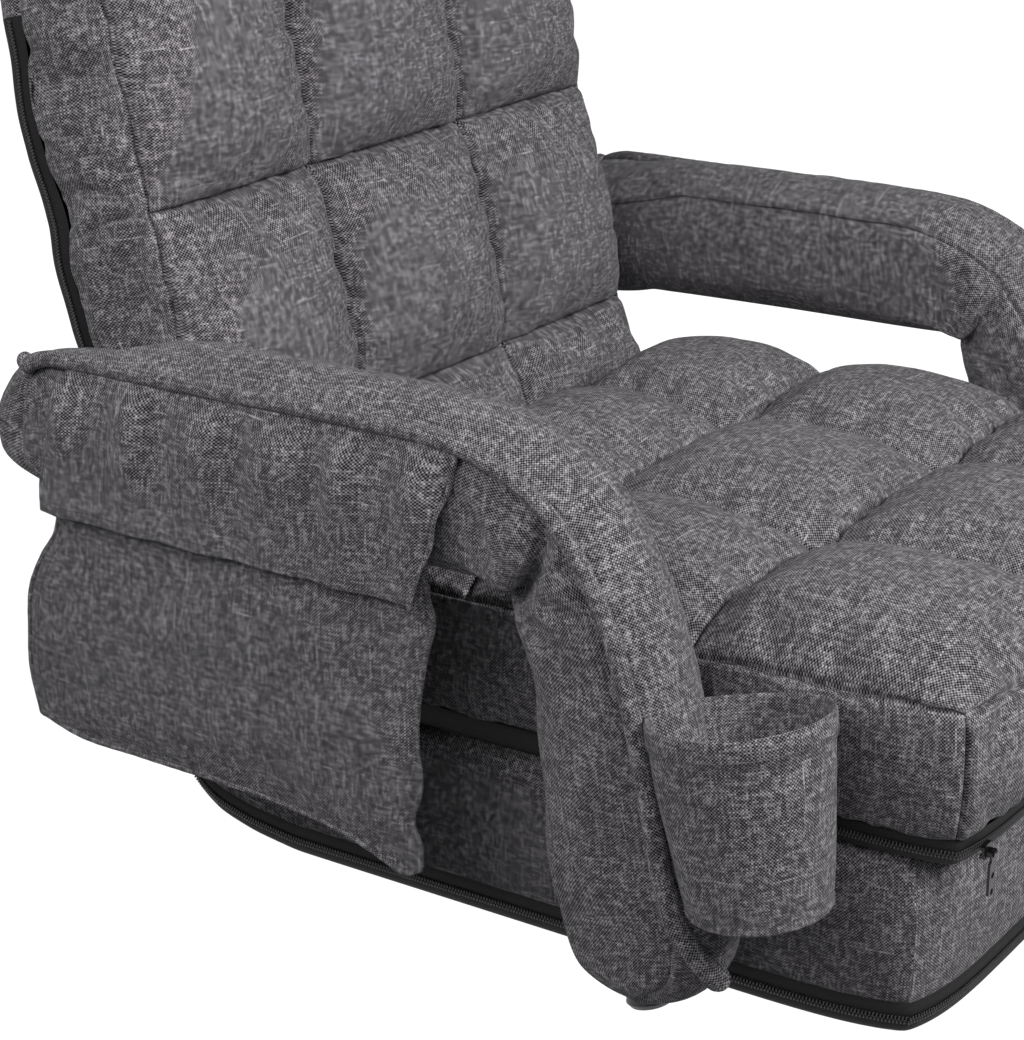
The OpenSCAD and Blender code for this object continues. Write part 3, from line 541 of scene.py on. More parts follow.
# The seat cushion's underside: black lining, set in from the cushion's wall, that wraps the
# steel loop. It is open where the loop comes out behind and where the leg brackets pass.
under_low, under_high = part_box("seat_underside")
loop_low, loop_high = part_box("seat_frame")
bracket_low, bracket_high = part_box("leg_brackets")
tube = loop_high.z - loop_low.z
passing = 0.001  # how far an opening in the lining clears what passes through it
tube_gap = (loop_high.x - tube, loop_high.x + passing)
bracket_gap = (bracket_low.y - passing, bracket_high.y + passing)
under_round = 0.008
under_floor = under_low.z + 0.0003
under_u = spaced([under_low.x, -tube_gap[1], -tube_gap[0], *tube_gap, under_high.x], 0.012)
under_v = spaced([under_low.y, *bracket_gap, under_high.y], 0.012)
under_wall, under_cloth = strip_round(
    under_u, under_v, bowed((0.0, under_high.z), (0.002, under_floor), 6, swell=0.0015), under_round)


def middles(rim):
    """The middle of each step along a rim: how far out on either side, and how far back."""
    middle = (rim[1:] + rim[:-1]) / 2
    return np.abs(middle[:, 0]), middle[:, 1]


def between_ends(places, ends):
    """Which places lie between the two ends."""
    return (places > ends[0]) & (places < ends[1])


under_out, under_back = middles(rim_of(laid(under_u, under_v, 0.0, 0.0, 0.0)))
at_bracket = (under_out > under_high.x - 1e-4) & between_ends(under_back, bracket_gap)
at_tube = (under_back > under_high.y - 1e-4) & between_ends(under_out, tube_gap)
under_stay = np.repeat(~(at_bracket | at_tube)[:, None], under_wall.shape[1] - 1, axis=1)
underside = sewn("seat_lining", [
    (under_wall, under_cloth, 0.0, under_stay),
    (laid(under_u, under_v, 0.002, under_floor, under_round), cloth_on(under_u, under_v), 0.0),
])
finished(smoothed(underside), lining, "base", "black_cloth", "seat_underside")

# The base layer: a foam slab in a linen wall with an upright seam near each corner. A black
# zipped band runs round its foot, and its rear bottom edge is rounded up off the floor.
base_low, base_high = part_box("base_cover")
band_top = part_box("base_zip_band")[1].z
corner_seam = base_high.y - 0.016
base_u = spaced([base_low.x, base_low.x + 0.02, base_high.x - 0.02, base_high.x], 0.0075)
base_v = spaced([base_low.y, -corner_seam - 0.002, -corner_seam, -corner_seam + 0.002,
                 corner_seam - 0.002, corner_seam, corner_seam + 0.002, base_high.y], 0.0075)
base_round = 0.013
band_turn = 0.012  # the height of the zip in the band


def lifted(points):
    """Rounds the rear bottom edge up, as the foam is cut there."""
    lift = np.interp(points[..., 1], [0.175, 0.212, 0.243, 0.264, 0.281, 0.286],
                     [0, 0.004, 0.010, 0.019, 0.034, 0.042])
    raised = points.copy()
    raised[..., 2] += lift * (1 - points[..., 2] / base_high.z)
    return raised


def base_strip(profile, swell_seed, amount):
    """A strip of linen round the base, slack enough to wave, with its corner seams sunk in."""
    points, cloth = strip_round(base_u, base_v, profile, base_round)
    chance = np.random.default_rng(swell_seed)
    waves = wandering(cloth[:, 0, 0], chance, 0.05, 0.16)
    fine = wandering(cloth[:, 0, 0], chance, 0.02, 0.05)
    outward = points * [1, 1, 0]
    side = np.abs(outward[..., 0]) / base_high.x > np.abs(outward[..., 1]) / base_high.y
    normal = np.where(side[..., None], np.sign(outward) * [1, 0, 0], np.sign(outward) * [0, 1, 0])
    share = np.linspace(0, 1, points.shape[1])[None, :]
    bulge = (waves[:, None] * np.sin(math.pi * share) + 0.4 * fine[:, None] * np.sin(math.pi * share) ** 0.5)
    seam_gap = np.abs(np.abs(points[..., 1]) - corner_seam)
    notch = np.where(side, hump(seam_gap, 0.0018), 0)
    points = points + normal * (amount * bulge - 0.0026 * notch)[..., None]
    return lifted(points), cloth


base_wall, base_wall_cloth = base_strip(
    [(0.012, base_high.z), (0.005, base_high.z - 0.002), (0.0012, base_high.z - 0.008)]
    + bowed((0.0, base_high.z - 0.016), (0.0015, base_low.z), 12, swell=0.003),
    swell_seed=11, amount=0.0012)
base = sewn("base_wall", [
    (base_wall, base_wall_cloth, edged(base_wall)),
    (lifted(laid(base_u, base_v, 0.012, base_high.z, base_round)), cloth_on(base_u, base_v), 1.0),
])
finished(smoothed(base), linen, "base", "linen", "base_cover", "base_foam")

band_profile = [(0.0015, band_top), (0.0, band_top - 0.003), (0.0004, band_turn), (0.0, 0.007),
                (0.0015, 0.003), (0.005, 0.0005)]
band_wall, band_cloth = strip_round(base_u, base_v, band_profile, base_round)
base_band = sewn("base_band", [
    (lifted(band_wall), band_cloth, 0.0),
    (lifted(laid(base_u, base_v, 0.005, 0.0005, base_round)), cloth_on(base_u, base_v), 0.0),
])
finished(smoothed(base_band), lining, "base", "black_cloth", "base_zip_band", "base_underside")

# The backrest: foam round a steel hoop. Its linen front is sewn down into three columns of
# tufts, and its linen border and hood meet a zipped black rear panel. The lower end is
# slit for the hinge plates, and the slits are lined.
pin_low, pin_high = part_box("hinge_pins")
hinge = np.array([0, (pin_low.y + pin_high.y) / 2, (pin_low.z + pin_high.z) / 2])
lean = math.radians(13.5)
back_top, back_foot = 0.585, -0.024
back_wide = 0.260
front_seam, side_seam = 0.036, -0.021
slit = (0.2295, 0.2430)
slit_top = 0.038
back_corner = (0.010, slit[1])
hood_from = 0.387
back_us = [-back_wide, -0.09, 0.09, back_wide]
back_vs = [back_foot, 0.075, 0.245, 0.415, back_top]
back_u = spaced(sorted(beside(back_us) + [-slit[1], -slit[0], slit[0], slit[1]]), 0.0062)
back_v = spaced(sorted(beside(back_vs) + [slit_top, hood_from]), 0.0062)


def leant(points):
    """From places on the upright backrest, across, up and forward, to where it leans."""
    across, up, front = points[..., 0], points[..., 1], points[..., 2]
    slack = ramp(0.012 - front, 0.03) * ramp(np.abs(across) - 0.235, 0.02)
    slack = slack * ramp(up - 0.14, 0.05) * ramp(hood_from + 0.05 - up, 0.05)
    across = across + np.sign(across) * slack * (0.0022 * np.sin(up * 39 + 0.4) + 0.0012 * np.sin(up * 88))
    front = front + slack * (0.0030 * np.sin(up * 47 + 2.2) + 0.0012 * np.sin(up * 109))
    fuller = np.interp(up, [0.06, 0.16, 0.215, 0.255, 0.29, 0.33, 0.50, 0.585],
                       [0, 0.014, 0.017, 0.023, 0.022, 0.016, 0.012, 0.006])
    front = front - fuller * ramp(0.022 - front, 0.045)
    reach = np.sqrt(np.maximum(0.0415 ** 2 - np.minimum(np.abs(front), 0.035) ** 2, 0.008 ** 2))
    up = np.where(up < 0, up * np.where(front < front_seam, reach / 0.025, 1), up)
    y = hinge[1] - front * math.cos(lean) + up * math.sin(lean)
    z = hinge[2] + front * math.sin(lean) + up * math.cos(lean)
    return joined(across, y, z)


back_chance = np.random.default_rng(7)
front_grid, front_cloth, front_held = tufted(
    back_u, back_v, back_us, back_vs, front_seam, groove=0.004, crown=0.023, draw=0.002,
    round_in=back_corner, chance=back_chance, power=0.45, dip=0.004, sag=0.009, gather=0.0019)
border, border_cloth = strip_round(
    back_u, back_v, bowed((0.002, front_seam), (0.0012, side_seam), 12, swell=0.0045), back_corner)
from_front = front_seam - border[..., 2]
from_pull = [border[..., 1] - 0.250, from_front]
pull_turn, pull_reach = np.arctan2(*from_pull), np.hypot(*from_pull)
drawn = np.sin(9 * pull_turn + 40 * pull_reach) * ramp(pull_reach, 0.02) * hump(pull_reach, 0.06)
drawn = drawn * ramp(np.minimum(from_front, border[..., 2] - side_seam), 0.012)
border[..., 0] += np.sign(border[..., 0]) * 0.0036 * drawn * (np.abs(border[..., 0]) > 0.2)
rear_profile = [(0.0012, side_seam), (0.0, -0.023), (-0.0004, -0.029), (0.0004, -0.0345),
                (0.0034, -0.0385), (0.0080, -0.0410), (0.0135, -0.0418)]
rear_strip, rear_strip_cloth = strip_round(back_u, back_v, rear_profile, back_corner)
rear_inset, rear_face = rear_profile[-1]
pillow_u = swelling(back_u, [-back_wide, back_wide], 0.6)[:, None]
pillow_v = swelling(back_v, [back_foot, back_top], 0.5)[None, :]
rear_grid = laid(back_u, back_v, rear_inset, rear_face - 0.0035 * (pillow_u * pillow_v), back_corner)
rear_cloth = cloth_on(back_u, back_v)

rim_out, rim_up = middles(rim_of(laid(back_u, back_v, 0.0, 0.0, 0.0)))
in_slit = (rim_up < back_foot + 1e-4) & between_ends(rim_out, slit)
rim_hood = rim_up > hood_from
mid_u, mid_v = (back_u[1:] + back_u[:-1]) / 2, (back_v[1:] + back_v[:-1]) / 2
grid_slit = between_ends(np.abs(mid_u), slit)[:, None] & (mid_v < slit_top)[None, :]
grid_hood = np.broadcast_to(mid_v > hood_from, grid_slit.shape)


def per_face(rim_flags, strip):
    """The same flag for every face of a strip below each step of its rim."""
    return np.repeat(rim_flags[:, None], strip.shape[1] - 1, axis=1)


backrest = sewn("back_tufts", [
    (leant(front_grid), front_cloth, front_held),
    (leant(border), border_cloth, edged(border), per_face(~in_slit, border)),
    (leant(rear_strip), rear_strip_cloth, 1.0, per_face(rim_hood, rear_strip)),
    (leant(rear_grid), rear_cloth, 1.0, grid_hood),
])
drawn_in(filled(backrest), stitch_depth)
back_points = points_of(backrest)
from_hinge = back_points - hinge
back_ups = from_hinge[:, 1] * math.sin(lean) + from_hinge[:, 2] * math.cos(lean)
back_fronts = from_hinge[:, 2] * math.sin(lean) - from_hinge[:, 1] * math.cos(lean)
# The cover is pressed in by the arms at its sides, by the seat at its foot and in front.
beside_arm = ramp(0.25 - back_ups, 0.04) * ramp(back_fronts - side_seam, 0.012)
too_wide = np.maximum(np.abs(back_points[:, 0]) - 0.2590, 0)
back_points[:, 0] -= np.sign(back_points[:, 0]) * 0.65 * beside_arm * too_wide
from_axis = np.hypot(back_ups, back_fronts)
too_low = np.maximum(from_axis - 0.0405, 0) * ramp(0.02 - back_ups, 0.02)
back_points[:, 1:] -= (0.75 * too_low / from_axis)[:, None] * from_hinge[:, 1:]
too_far = 0.75 * np.maximum(back_fronts - 0.057, 0) * ramp(0.056 - back_ups, 0.02)
back_points[:, 1:] += too_far[:, None] * [math.cos(lean), -math.sin(lean)]
settle(backrest, back_points)
finished(smoothed(backrest), linen, "back", "linen", "back_cushion", "back_cover")

slit_profile = bowed((0, front_seam), (0, side_seam), 12, swell=0)[1:-1] + rear_profile
fronts = np.unique([front_seam] + [front for _, front in slit_profile])[::-1]
ups = np.linspace(back_foot, slit_top, 6)
slit_lining = []
for x in (-slit[1], -slit[0], slit[0], slit[1]):
    place = joined(x, ups[None, :], fronts[:, None])
    slit_lining.append((leant(place), cloth_on(fronts, ups), 0.0))
for side in (-1, 1):
    ends = np.array([slit[0], (slit[0] + slit[1]) / 2, slit[1]]) * side
    place = joined(ends[None, :], slit_top, fronts[:, None])
    slit_lining.append((leant(place), cloth_on(fronts, ends), 0.0))
rear_panel = sewn("back_lining", [
    (leant(rear_strip), rear_strip_cloth, 0.0, per_face(~rim_hood & ~in_slit, rear_strip)),
    (leant(rear_grid), rear_cloth, 0.0, ~grid_hood & ~grid_slit),
] + slit_lining)
finished(smoothed(rear_panel), lining, "back", "black_cloth", "back_rear_panel", "back_foam")

# The arms: padded linen sleeves over the steel linkage. Each is two L-shaped side panels
# with a crowned band between them that runs over the arm and down the leg, gathered into a
# deep fold inside the elbow.
arm_half = 0.0372
arm_side = 0.0385  # from the arm's middle to where its side is pressed flat
arm_middle = 0.306
# Places of the side panel's two edges, from the rear of the arm to the foot, in millimetres:
# y and z of the top edge, then of the lower edge.
side_line = np.array([
    (324, 296, 324, 296), (322.5, 314, 322.5, 281), (318, 329, 318, 271), (309, 341.5, 309, 266),
    (296, 347.5, 296, 264.5), (270, 349.5, 270, 265), (233, 349.5, 233, 267), (160, 350, 160, 268),
    (90, 351, 90, 268), (40, 351, 32, 267), (3, 350, -8, 266.5), (-20, 347.5, -24, 266.5),
    (-44, 340, -36, 266.5), (-66, 329, -42, 266), (-83, 316, -45, 264.5), (-97, 300, -46, 261.5),
    (-110, 279, -46.5, 256), (-122, 255, -49.5, 247), (-131, 229, -54.5, 232), (-139, 200, -61, 207),
    (-146, 171, -66, 177), (-152, 143, -69, 147), (-158, 116, -73, 115), (-165, 92, -79, 83),
    (-169, 66, -88, 54), (-166, 47, -101, 37), (-156, 33, -121, 28), (-140, 26, -140, 26)]) * 0.001


def through(marks, values, places):
    """A smooth line through the values at the marks, read at the places."""
    slope = np.gradient(values, marks, axis=0)
    i = np.clip(np.searchsorted(marks, places, side="right") - 1, 0, len(marks) - 2)
    gap = (marks[i + 1] - marks[i])[:, None]
    share = ((places - marks[i]) / (marks[i + 1] - marks[i]))[:, None]
    rest = 1 - share
    return ((1 + 2 * share) * rest ** 2 * values[i] + share * rest ** 2 * gap * slope[i]
            + share ** 2 * (3 - 2 * share) * values[i + 1] - share ** 2 * rest * gap * slope[i + 1])


def unit(vectors):
    return vectors / np.maximum(np.linalg.norm(vectors, axis=-1, keepdims=True), 1e-12)


steps = np.diff(side_line, axis=0)
chord = (np.hypot(steps[:, 0], steps[:, 1]) + np.hypot(steps[:, 2], steps[:, 3])) / 2
line_marks = np.concatenate([[0], np.cumsum(chord)])
elbow_at = (line_marks[10], line_marks[19])
ruler = np.linspace(0, line_marks[-1], 2000)
closeness = 1 + 1.6 * ((ruler > elbow_at[0]) & (ruler < elbow_at[1])) + 0.8 * (ruler < 0.1)
closeness = np.cumsum(closeness) - closeness[0]
stations = np.interp(np.linspace(0, closeness[-1], 170), closeness, ruler)
line = through(line_marks, side_line, stations)
top_line, under_line = line[:, :2], line[:, 2:]
top_way, under_way = unit(np.gradient(top_line, axis=0)), unit(np.gradient(under_line, axis=0))
top_out = joined(top_way[:, 1], -top_way[:, 0])
under_out = joined(-under_way[:, 1], under_way[:, 0])
top_out[-1] = under_out[-1] = unit(top_out[-1] + under_out[-1])
heel_turn = np.interp(stations, [0, 0.046, 0.060, 0.085], [0, 0, 0.6, math.pi / 2])
heel_turn_under = -np.interp(stations, [0, 0.046, 0.060, 0.086, 0.11], [0, 0.05, 0.28, 1.0, math.pi / 2])
for outward, angle, last in ((top_out, heel_turn, 0.085), (under_out, heel_turn_under, 0.11)):
    at_heel = stations < last
    outward[at_heel] = joined(np.cos(angle), np.sin(angle))[at_heel]
depth = np.linalg.norm(top_line - under_line, axis=1)
openness = ramp(depth, 0.05)[:, None]
foot = ramp(stations[-1] - stations, 0.05)
crown_top = np.interp(stations, [0, 0.017, 0.032, 0.046, 0.060, 0.085, 0.13],
                      [0.047, 0.037, 0.029, 0.020, 0.006, 0.005, 0.0125])
crown_under = np.interp(stations, [0, 0.017, 0.032, 0.046, 0.060, 0.086, 0.123],
                        [0.047, 0.047, 0.051, 0.052, 0.042, 0.018, 0.006])
crown_top, crown_under = [(0.009 + (crown - 0.009) * foot)[:, None] for crown in (crown_top, crown_under)]
heel_drop = np.interp(stations, [0, 0.012, 0.045, 0.075, 0.16], [0, 0, 0.022, 0.021, 0])[:, None]
across = np.array([1, 0.96, 0.90, 0.82, 0.68, 0.5, 0.26, 0, -0.26, -0.5, -0.68, -0.82, -0.90, -0.96, -1])
down = np.concatenate([[0, 0.022], np.linspace(0.06, 1, 22)])


def band_points(edge, outward, crown, rounding, drop=0.0):
    """Points of a band across the sleeve, crowned between its two edges."""
    rounding = 0.005 + (rounding - 0.005) * openness
    rise = crown * (1 - across[None, :] ** 2) - rounding * np.abs(across[None, :]) ** 5
    place = edge[:, None, :] + outward[:, None, :] * rise[..., None]
    place[..., 1] -= drop * ((1 - across[None, :]) / 2) ** 1.3
    return joined(arm_half * across[None, :], place[..., 0], place[..., 1])


def side_points(sign, top_edge, under_edge):
    """Points of a side panel, slightly swollen, from its top seam to its lower edge."""
    place = top_edge[:, None, 1:] + (under_edge - top_edge)[:, None, 1:] * down[None, :, None]
    bulge = 0.0030 * np.sin(math.pi * down[None, :]) ** 0.7 * openness
    bulge = bulge - 0.0045 * hump(down[None, :] * depth[:, None], 0.006) * openness
    return joined(sign * (arm_half + bulge), place[..., 0], place[..., 1])


fold_line = np.array([
    (-44, 262), (-54, 270), (-60, 278), (-67, 289), (-71, 299), (-72.5, 308), (-73, 314)]) * 0.001


def bend_at_elbow(piece):
    """Bakes the piece's placement into its mesh."""
    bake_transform(piece)


def sleeve(side, hand):
    """One arm's cover: its four panels, filled, then folded and gathered at the elbow."""
    band = band_points(top_line, top_out, crown_top + 0.0015, rounding=0.0035, drop=heel_drop)
    under = band_points(under_line, under_out, crown_under, rounding=0.006)[:, ::-1]
    inner = side_points(-1, band[:, -1], under[:, 0])
    outer = side_points(1, band[:, 0], under[:, -1])
    grids = []
    start = 0.0
    for panel, lines in ((band, (0, -1)), (inner, (0,)), (under, ()), (outer[:, ::-1], (-1,))):
        run = start + run_along(panel[30])
        start = run[-1]
        firm = np.zeros(panel.shape[:2])
        for seam_line in lines:
            firm[:, seam_line] = SEWN
        placed = panel.copy()
        placed[..., 0] = side * (arm_middle + panel[..., 0])
        grids.append((placed, cloth_on(run_along(panel[:, panel.shape[1] // 2]), run), firm))
    made = sewn(f"{hand}_sleeve", grids, weld=3e-4)
    drawn_in(filled(made, pressure=3.0, spare=0.01, cap=0.006, frames=12, bend=1.5), 0.0024)
    points = points_of(made)
    y, z = points[:, 1], points[:, 2]
    from_middle = points[:, 0] * side - arm_middle
    # The fold: how far each point lies from the nearest place on the fold line, and which side.
    place = joined(y, z)
    toward = place[:, None] - fold_line[None, :-1]
    piece_of = np.diff(fold_line, axis=0)
    share = np.clip((toward * piece_of).sum(-1) / (piece_of ** 2).sum(-1), 0, 1)
    miss = toward - share[..., None] * piece_of
    nearest = np.linalg.norm(miss, axis=-1).argmin(1)
    pick = np.arange(len(place)), nearest
    up_fold = (nearest + share[pick]) / len(piece_of)
    on_arm = np.sign(miss[pick][:, 0] * -piece_of[nearest, 1] + miss[pick][:, 1] * piece_of[nearest, 0]) * -1
    gap = np.linalg.norm(miss[pick], axis=1) * on_arm
    on_side = ramp(np.abs(from_middle) - 0.028, 0.008)
    fade = np.clip(1.05 - up_fold, 0, 1) ** 0.7
    crease_width = np.where(gap > -0.003, 0.0034, 0.0080)
    crease = np.where(from_middle > 0, -0.0200, -0.0110) * hump(gap + 0.003, crease_width)
    crease += 0.0060 * hump(gap - 0.011, 0.010) + 0.0015 * hump(gap + 0.022, 0.010)
    lap = 0.0055 * hump(gap - 0.006, 0.007) * (gap > 0) * on_side * fade
    points[:, 1:] -= unit(miss[pick]) * lap[:, None]
    # Gathers that fan out from the elbow, then waves down the leg.
    from_elbow = [z - 0.272, y + 0.05]
    turn, reach = np.arctan2(*from_elbow), np.hypot(*from_elbow)
    gathers = 0.0019 * np.sin(11 * turn + 0.8 * side) * hump(reach - 0.036, 0.024)
    points[:, 0] += side * np.sign(from_middle) * on_side * (crease * fade + gathers)
    leg_wave = 0.0016 * np.sin(z * 88 + 1.3 * side) * ramp(0.24 - z, 0.05)
    points[:, 1] += leg_wave * ramp(y + 0.11 + (0.25 - z) * 0.24, 0.03)
    soft = 0.0011 * np.sin(y * 61 + z * 47) * np.sin(y * 23 - z * 71 + 1.0)
    points[:, 0] += side * np.sign(from_middle) * on_side * soft
    # The seat and the backrest press the inner side flat.
    points[:, 0] += side * 0.6 * np.maximum(arm_middle - arm_side - points[:, 0] * side, 0)
    settle(made, points)
    smoothed(made, sharp=0.7)
    made.data.materials.append(linen)
    bend_at_elbow(made)
    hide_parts(f"{hand}_arm_pad", f"{hand}_leg_pad")


sleeve(-1, "right")
sleeve(1, "left")

# Corded welts along the sleeves' outer top edge: linen wrapped round a cord. Each starts at
# the rear of the arm, runs down the leg and ends in a curled tail at its foot.


def evened(path, count):
    """The path through the same places with this many points, evenly spread."""
    marks = run_along(path)
    return through(marks, path, np.linspace(0, marks[-1], count))


def corded(name, path, radius, sides=10, knob=1.0, tail=0.0):
    """A round welt along a path, closed and slightly thicker at both ends. Its tail swells."""
    way = unit(np.gradient(path, axis=0))
    first = unit(np.cross(way, np.array([1.0, 0.0, 0.0])))
    second = np.cross(way, first)
    turn = np.linspace(0, 2 * math.pi, sides + 1)
    ring = first[:, None] * np.cos(turn)[None, :, None] + second[:, None] * np.sin(turn)[None, :, None]
    run = run_along(path)
    size = radius * (1 + (knob - 1) * hump(np.minimum(run, run[-1] - run), 0.006))
    size = size * (1 + 0.03 * np.sin(run * 520)) * (1 + tail * np.clip(run / run[-1] * 3 - 2, 0, 1))
    tube_points = path[:, None] + ring * size[:, None, None]
    caps = []
    for end, sign in ((0, -1), (-1, 1)):
        shrink = np.array([0.85, 0.55, 0.0])[:, None, None]
        reach = np.array([0.45, 0.85, 1.0])[:, None, None] * size[end]
        cap = path[end] + (tube_points[end] - path[end])[None] * shrink + sign * way[end] * reach
        caps.append(cap)
    whole = np.concatenate([caps[0][::-1], tube_points, caps[1]])
    lengths = np.concatenate([run[0] - [0.004, 0.003, 0.001], run, run[-1] + np.array([0.001, 0.003, 0.004])])
    return sewn(name, [(whole, cloth_on(lengths, turn * radius), 0.0)], weld=1e-5)


welt = 0.0056
for side, hand in ((-1, "right"), (1, "left")):
    run = top_line[(top_line[:, 0] < 0.310) & (stations < stations[-1] * 0.94) & (top_line[:, 1] > 0.088)]
    path = [(side * (arm_middle + arm_side), 0.3125, 0.3435)]
    path.extend((side * (arm_middle + 0.0392), y + 0.0004, z + 0.0002) for y, z in run)
    tail = [(0.0375, -0.1695, 0.082), (0.0350, -0.1745, 0.073), (0.0310, -0.1790, 0.064),
            (0.0260, -0.1830, 0.056), (0.0205, -0.1855, 0.0495)]
    path.extend((side * (arm_middle + out), y, z) for out, y, z in tail)
    piping = corded(f"{hand}_welt", evened(np.array(path), 190), welt, knob=1.15, tail=0.35)
    smoothed(piping)
    piping.data.materials.append(linen)
    bend_at_elbow(piping)

# The cup holder: a tapering linen cup with a folded rim and a floor sewn in, stitched by its
# back to the front of the right leg.
cup_mouth = np.array([-0.321, -0.1921, 0.2163])
cup_lean = math.radians(-8.17)
cup_profile = [
    # radius, depth below the mouth
    (0, 0.1148), (0.012, 0.1148), (0.026, 0.115), (0.036, 0.1155), (0.0408, 0.1168),
    (0.0432, 0.1156), (0.044, 0.1138), (0.0428, 0.112), (0.0438, 0.1085), (0.0452, 0.1),
    (0.0466, 0.088), (0.048, 0.075), (0.0494, 0.061), (0.0508, 0.047), (0.052, 0.034),
    (0.053, 0.0215), (0.0533, 0.0165), (0.0545, 0.015), (0.055, 0.012), (0.0553, 0.006),
    (0.0551, 0.0012), (0.054, 0), (0.0526, 0.0008), (0.0518, 0.006), (0.0506, 0.02), (0.0486, 0.04),
    (0.0456, 0.07), (0.043, 0.095), (0.0405, 0.11), (0.036, 0.1128), (0.02, 0.1133), (0, 0.1133)]
turn = np.linspace(0, 2 * math.pi, 73)
cup_rings = []
for radius, below in cup_profile:
    wall_share = math.sin(math.pi * min(1, max(0, below / 0.118)))
    wave = 0.0006 * np.sin(2 * turn + 0.6) + 0.0011 * wall_share * np.sin(3 * turn + 30 * below)
    wave = wave + 0.0007 * wall_share * np.sin(7 * turn - 55 * below)
    size = radius * (1 + wave / 0.05)
    mouth = max(0, 1 - below / 0.07)
    level = -below - 0.0014 * np.sin(2 * turn + 1.0) * mouth - 0.006 * mouth * np.cos(turn - math.radians(28))
    cup_rings.append(joined(size * np.cos(turn), size * np.sin(turn), level))
x, y, z = np.moveaxis(np.array(cup_rings), -1, 0)
cup_points = joined(
    cup_mouth[0] + x,
    cup_mouth[1] + y * math.cos(cup_lean) - z * math.sin(cup_lean),
    cup_mouth[2] + y * math.sin(cup_lean) + z * math.cos(cup_lean))
cup_run = run_along(cup_profile)
cup = sewn("cup_pocket", [(cup_points, cloth_on(cup_run, turn * 0.05), 0.0)], weld=1e-5)
finished(smoothed(cup), linen, "right_leg", "linen", "cup_holder")

# The side pocket: a flat linen bag hung on the outside of the right arm, fuller towards its
# bottom, with bound edges and a drooping front corner.


def patch(top, front, low, rear, rows, columns):
    """Points spread between four edges, in metres. The edges' places are in millimetres: top
    and low run from front to rear, front and rear from top to low."""
    f, g = np.linspace(0, 1, columns), np.linspace(0, 1, rows)

    def edge(points, places):
        points = np.array(points, float)
        marks = run_along(points)
        return through(marks / marks[-1], points, places)

    upper, lower, left, right = edge(top, f), edge(low, f), edge(front, g), edge(rear, g)
    f, g = f[None, :, None], g[:, None, None]
    flat_part = ((1 - f) * (1 - g) * upper[0] + f * (1 - g) * upper[-1]
                 + (1 - f) * g * lower[0] + f * g * lower[-1])
    spread = (1 - g) * upper[None] + g * lower[None] + (1 - f) * left[:, None] + f * right[:, None]
    return (spread - flat_part) * 0.001


pouch_x = 0.3466
pouch_rows, pouch_columns = 46, 64
pouch_flat = patch(
    [(4, 300), (90, 300), (190, 300), (286, 300)],
    [(4, 300), (2, 270), (1, 249), (-2, 240), (3, 217), (8, 191), (11, 163), (9, 124), (15, 104),
     (9, 88), (9, 74)],
    [(9, 74), (20, 68), (36, 73), (53, 79), (85, 86), (120, 90), (166, 92), (230, 93), (285, 95),
     (314, 103)],
    [(286, 300), (287, 270), (288, 250), (292, 234), (305, 215), (316, 193), (320, 160), (321, 136),
     (314, 103)],
    pouch_rows, pouch_columns)
share_f = np.linspace(0, 1, pouch_columns)[None, :]
share_g = np.linspace(0, 1, pouch_rows)[:, None]
closing = 1 - ramp(share_g - 0.35, 0.65) ** 5
fullness = 0.0105 * np.sin(math.pi * share_f) ** 0.42 * closing * (0.55 + 0.45 * ramp(share_g - 0.2, 0.35))
pouch_y, pouch_z = pouch_flat[..., 0], pouch_flat[..., 1]
creased = 0.0022 * np.sin(pouch_y * 47 + pouch_z * 31) * np.sin(pouch_z * 58 - pouch_y * 20)
at_front, at_bottom = np.exp(-share_f / 0.035), np.exp(-(1 - share_g) / 0.05)
creased += 0.0016 * at_front * np.sin(pouch_z * 210) + 0.0016 * at_bottom * np.sin(pouch_y * 170)
outer_x = -(pouch_x + 0.0012 + fullness + creased * np.sin(math.pi * share_f) ** 0.3 * closing)
inner_x = -(pouch_x - 0.0003)
pouch_front = joined(outer_x, pouch_y, pouch_z)
pouch_back = joined(inner_x, pouch_y, pouch_z)
doubled = np.array([0.0012, 0, 0])  # the cloth's thickness, with its seam allowance
inside_front = pouch_front + doubled
inside_back = pouch_back - doubled
inside_front[..., 0] = np.minimum(inside_front[..., 0], inside_back[..., 0] - 0.0001)
grids = [(pouch_front, pouch_flat, 0.0), (pouch_back, pouch_flat, 0.0)]
for first, second in ((pouch_front[:, 0], pouch_back[:, 0]), (pouch_front[:, -1], pouch_back[:, -1]),
                      (pouch_front[-1], pouch_back[-1])):
    wall_cloth = np.stack([first[:, 1:] + [0, shift] for shift in (0, 0.001, 0.002)], 1)
    grids.append((np.stack([first, (first + second) / 2, second], 1), wall_cloth, 0.0))
lip = 5
rim_cloth = np.stack([pouch_flat[0], pouch_flat[0] + 0.001], 0)
for outside, inside in ((pouch_front, inside_front), (pouch_back, inside_back)):
    grids.append((np.stack([outside[0], inside[0]], 0), rim_cloth, 0.0))
    grids.append((inside[:lip], pouch_flat[:lip], 0.0))
pouch = sewn("side_pocket", grids, weld=1e-5)
finished(smoothed(pouch), linen, "right_arm", "linen", "pocket_pouch")

edge_path = np.concatenate([pouch_flat[8:, 0], pouch_flat[-1, 1:], pouch_flat[-2:8:-1, -1]])
edge_path = joined(-(pouch_x + 0.0012), edge_path[:, 0], edge_path[:, 1])
pocket_edge = corded("pocket_binding", evened(edge_path, 260), 0.0021, sides=6)
finished(pocket_edge, linen, "right_arm", "linen")

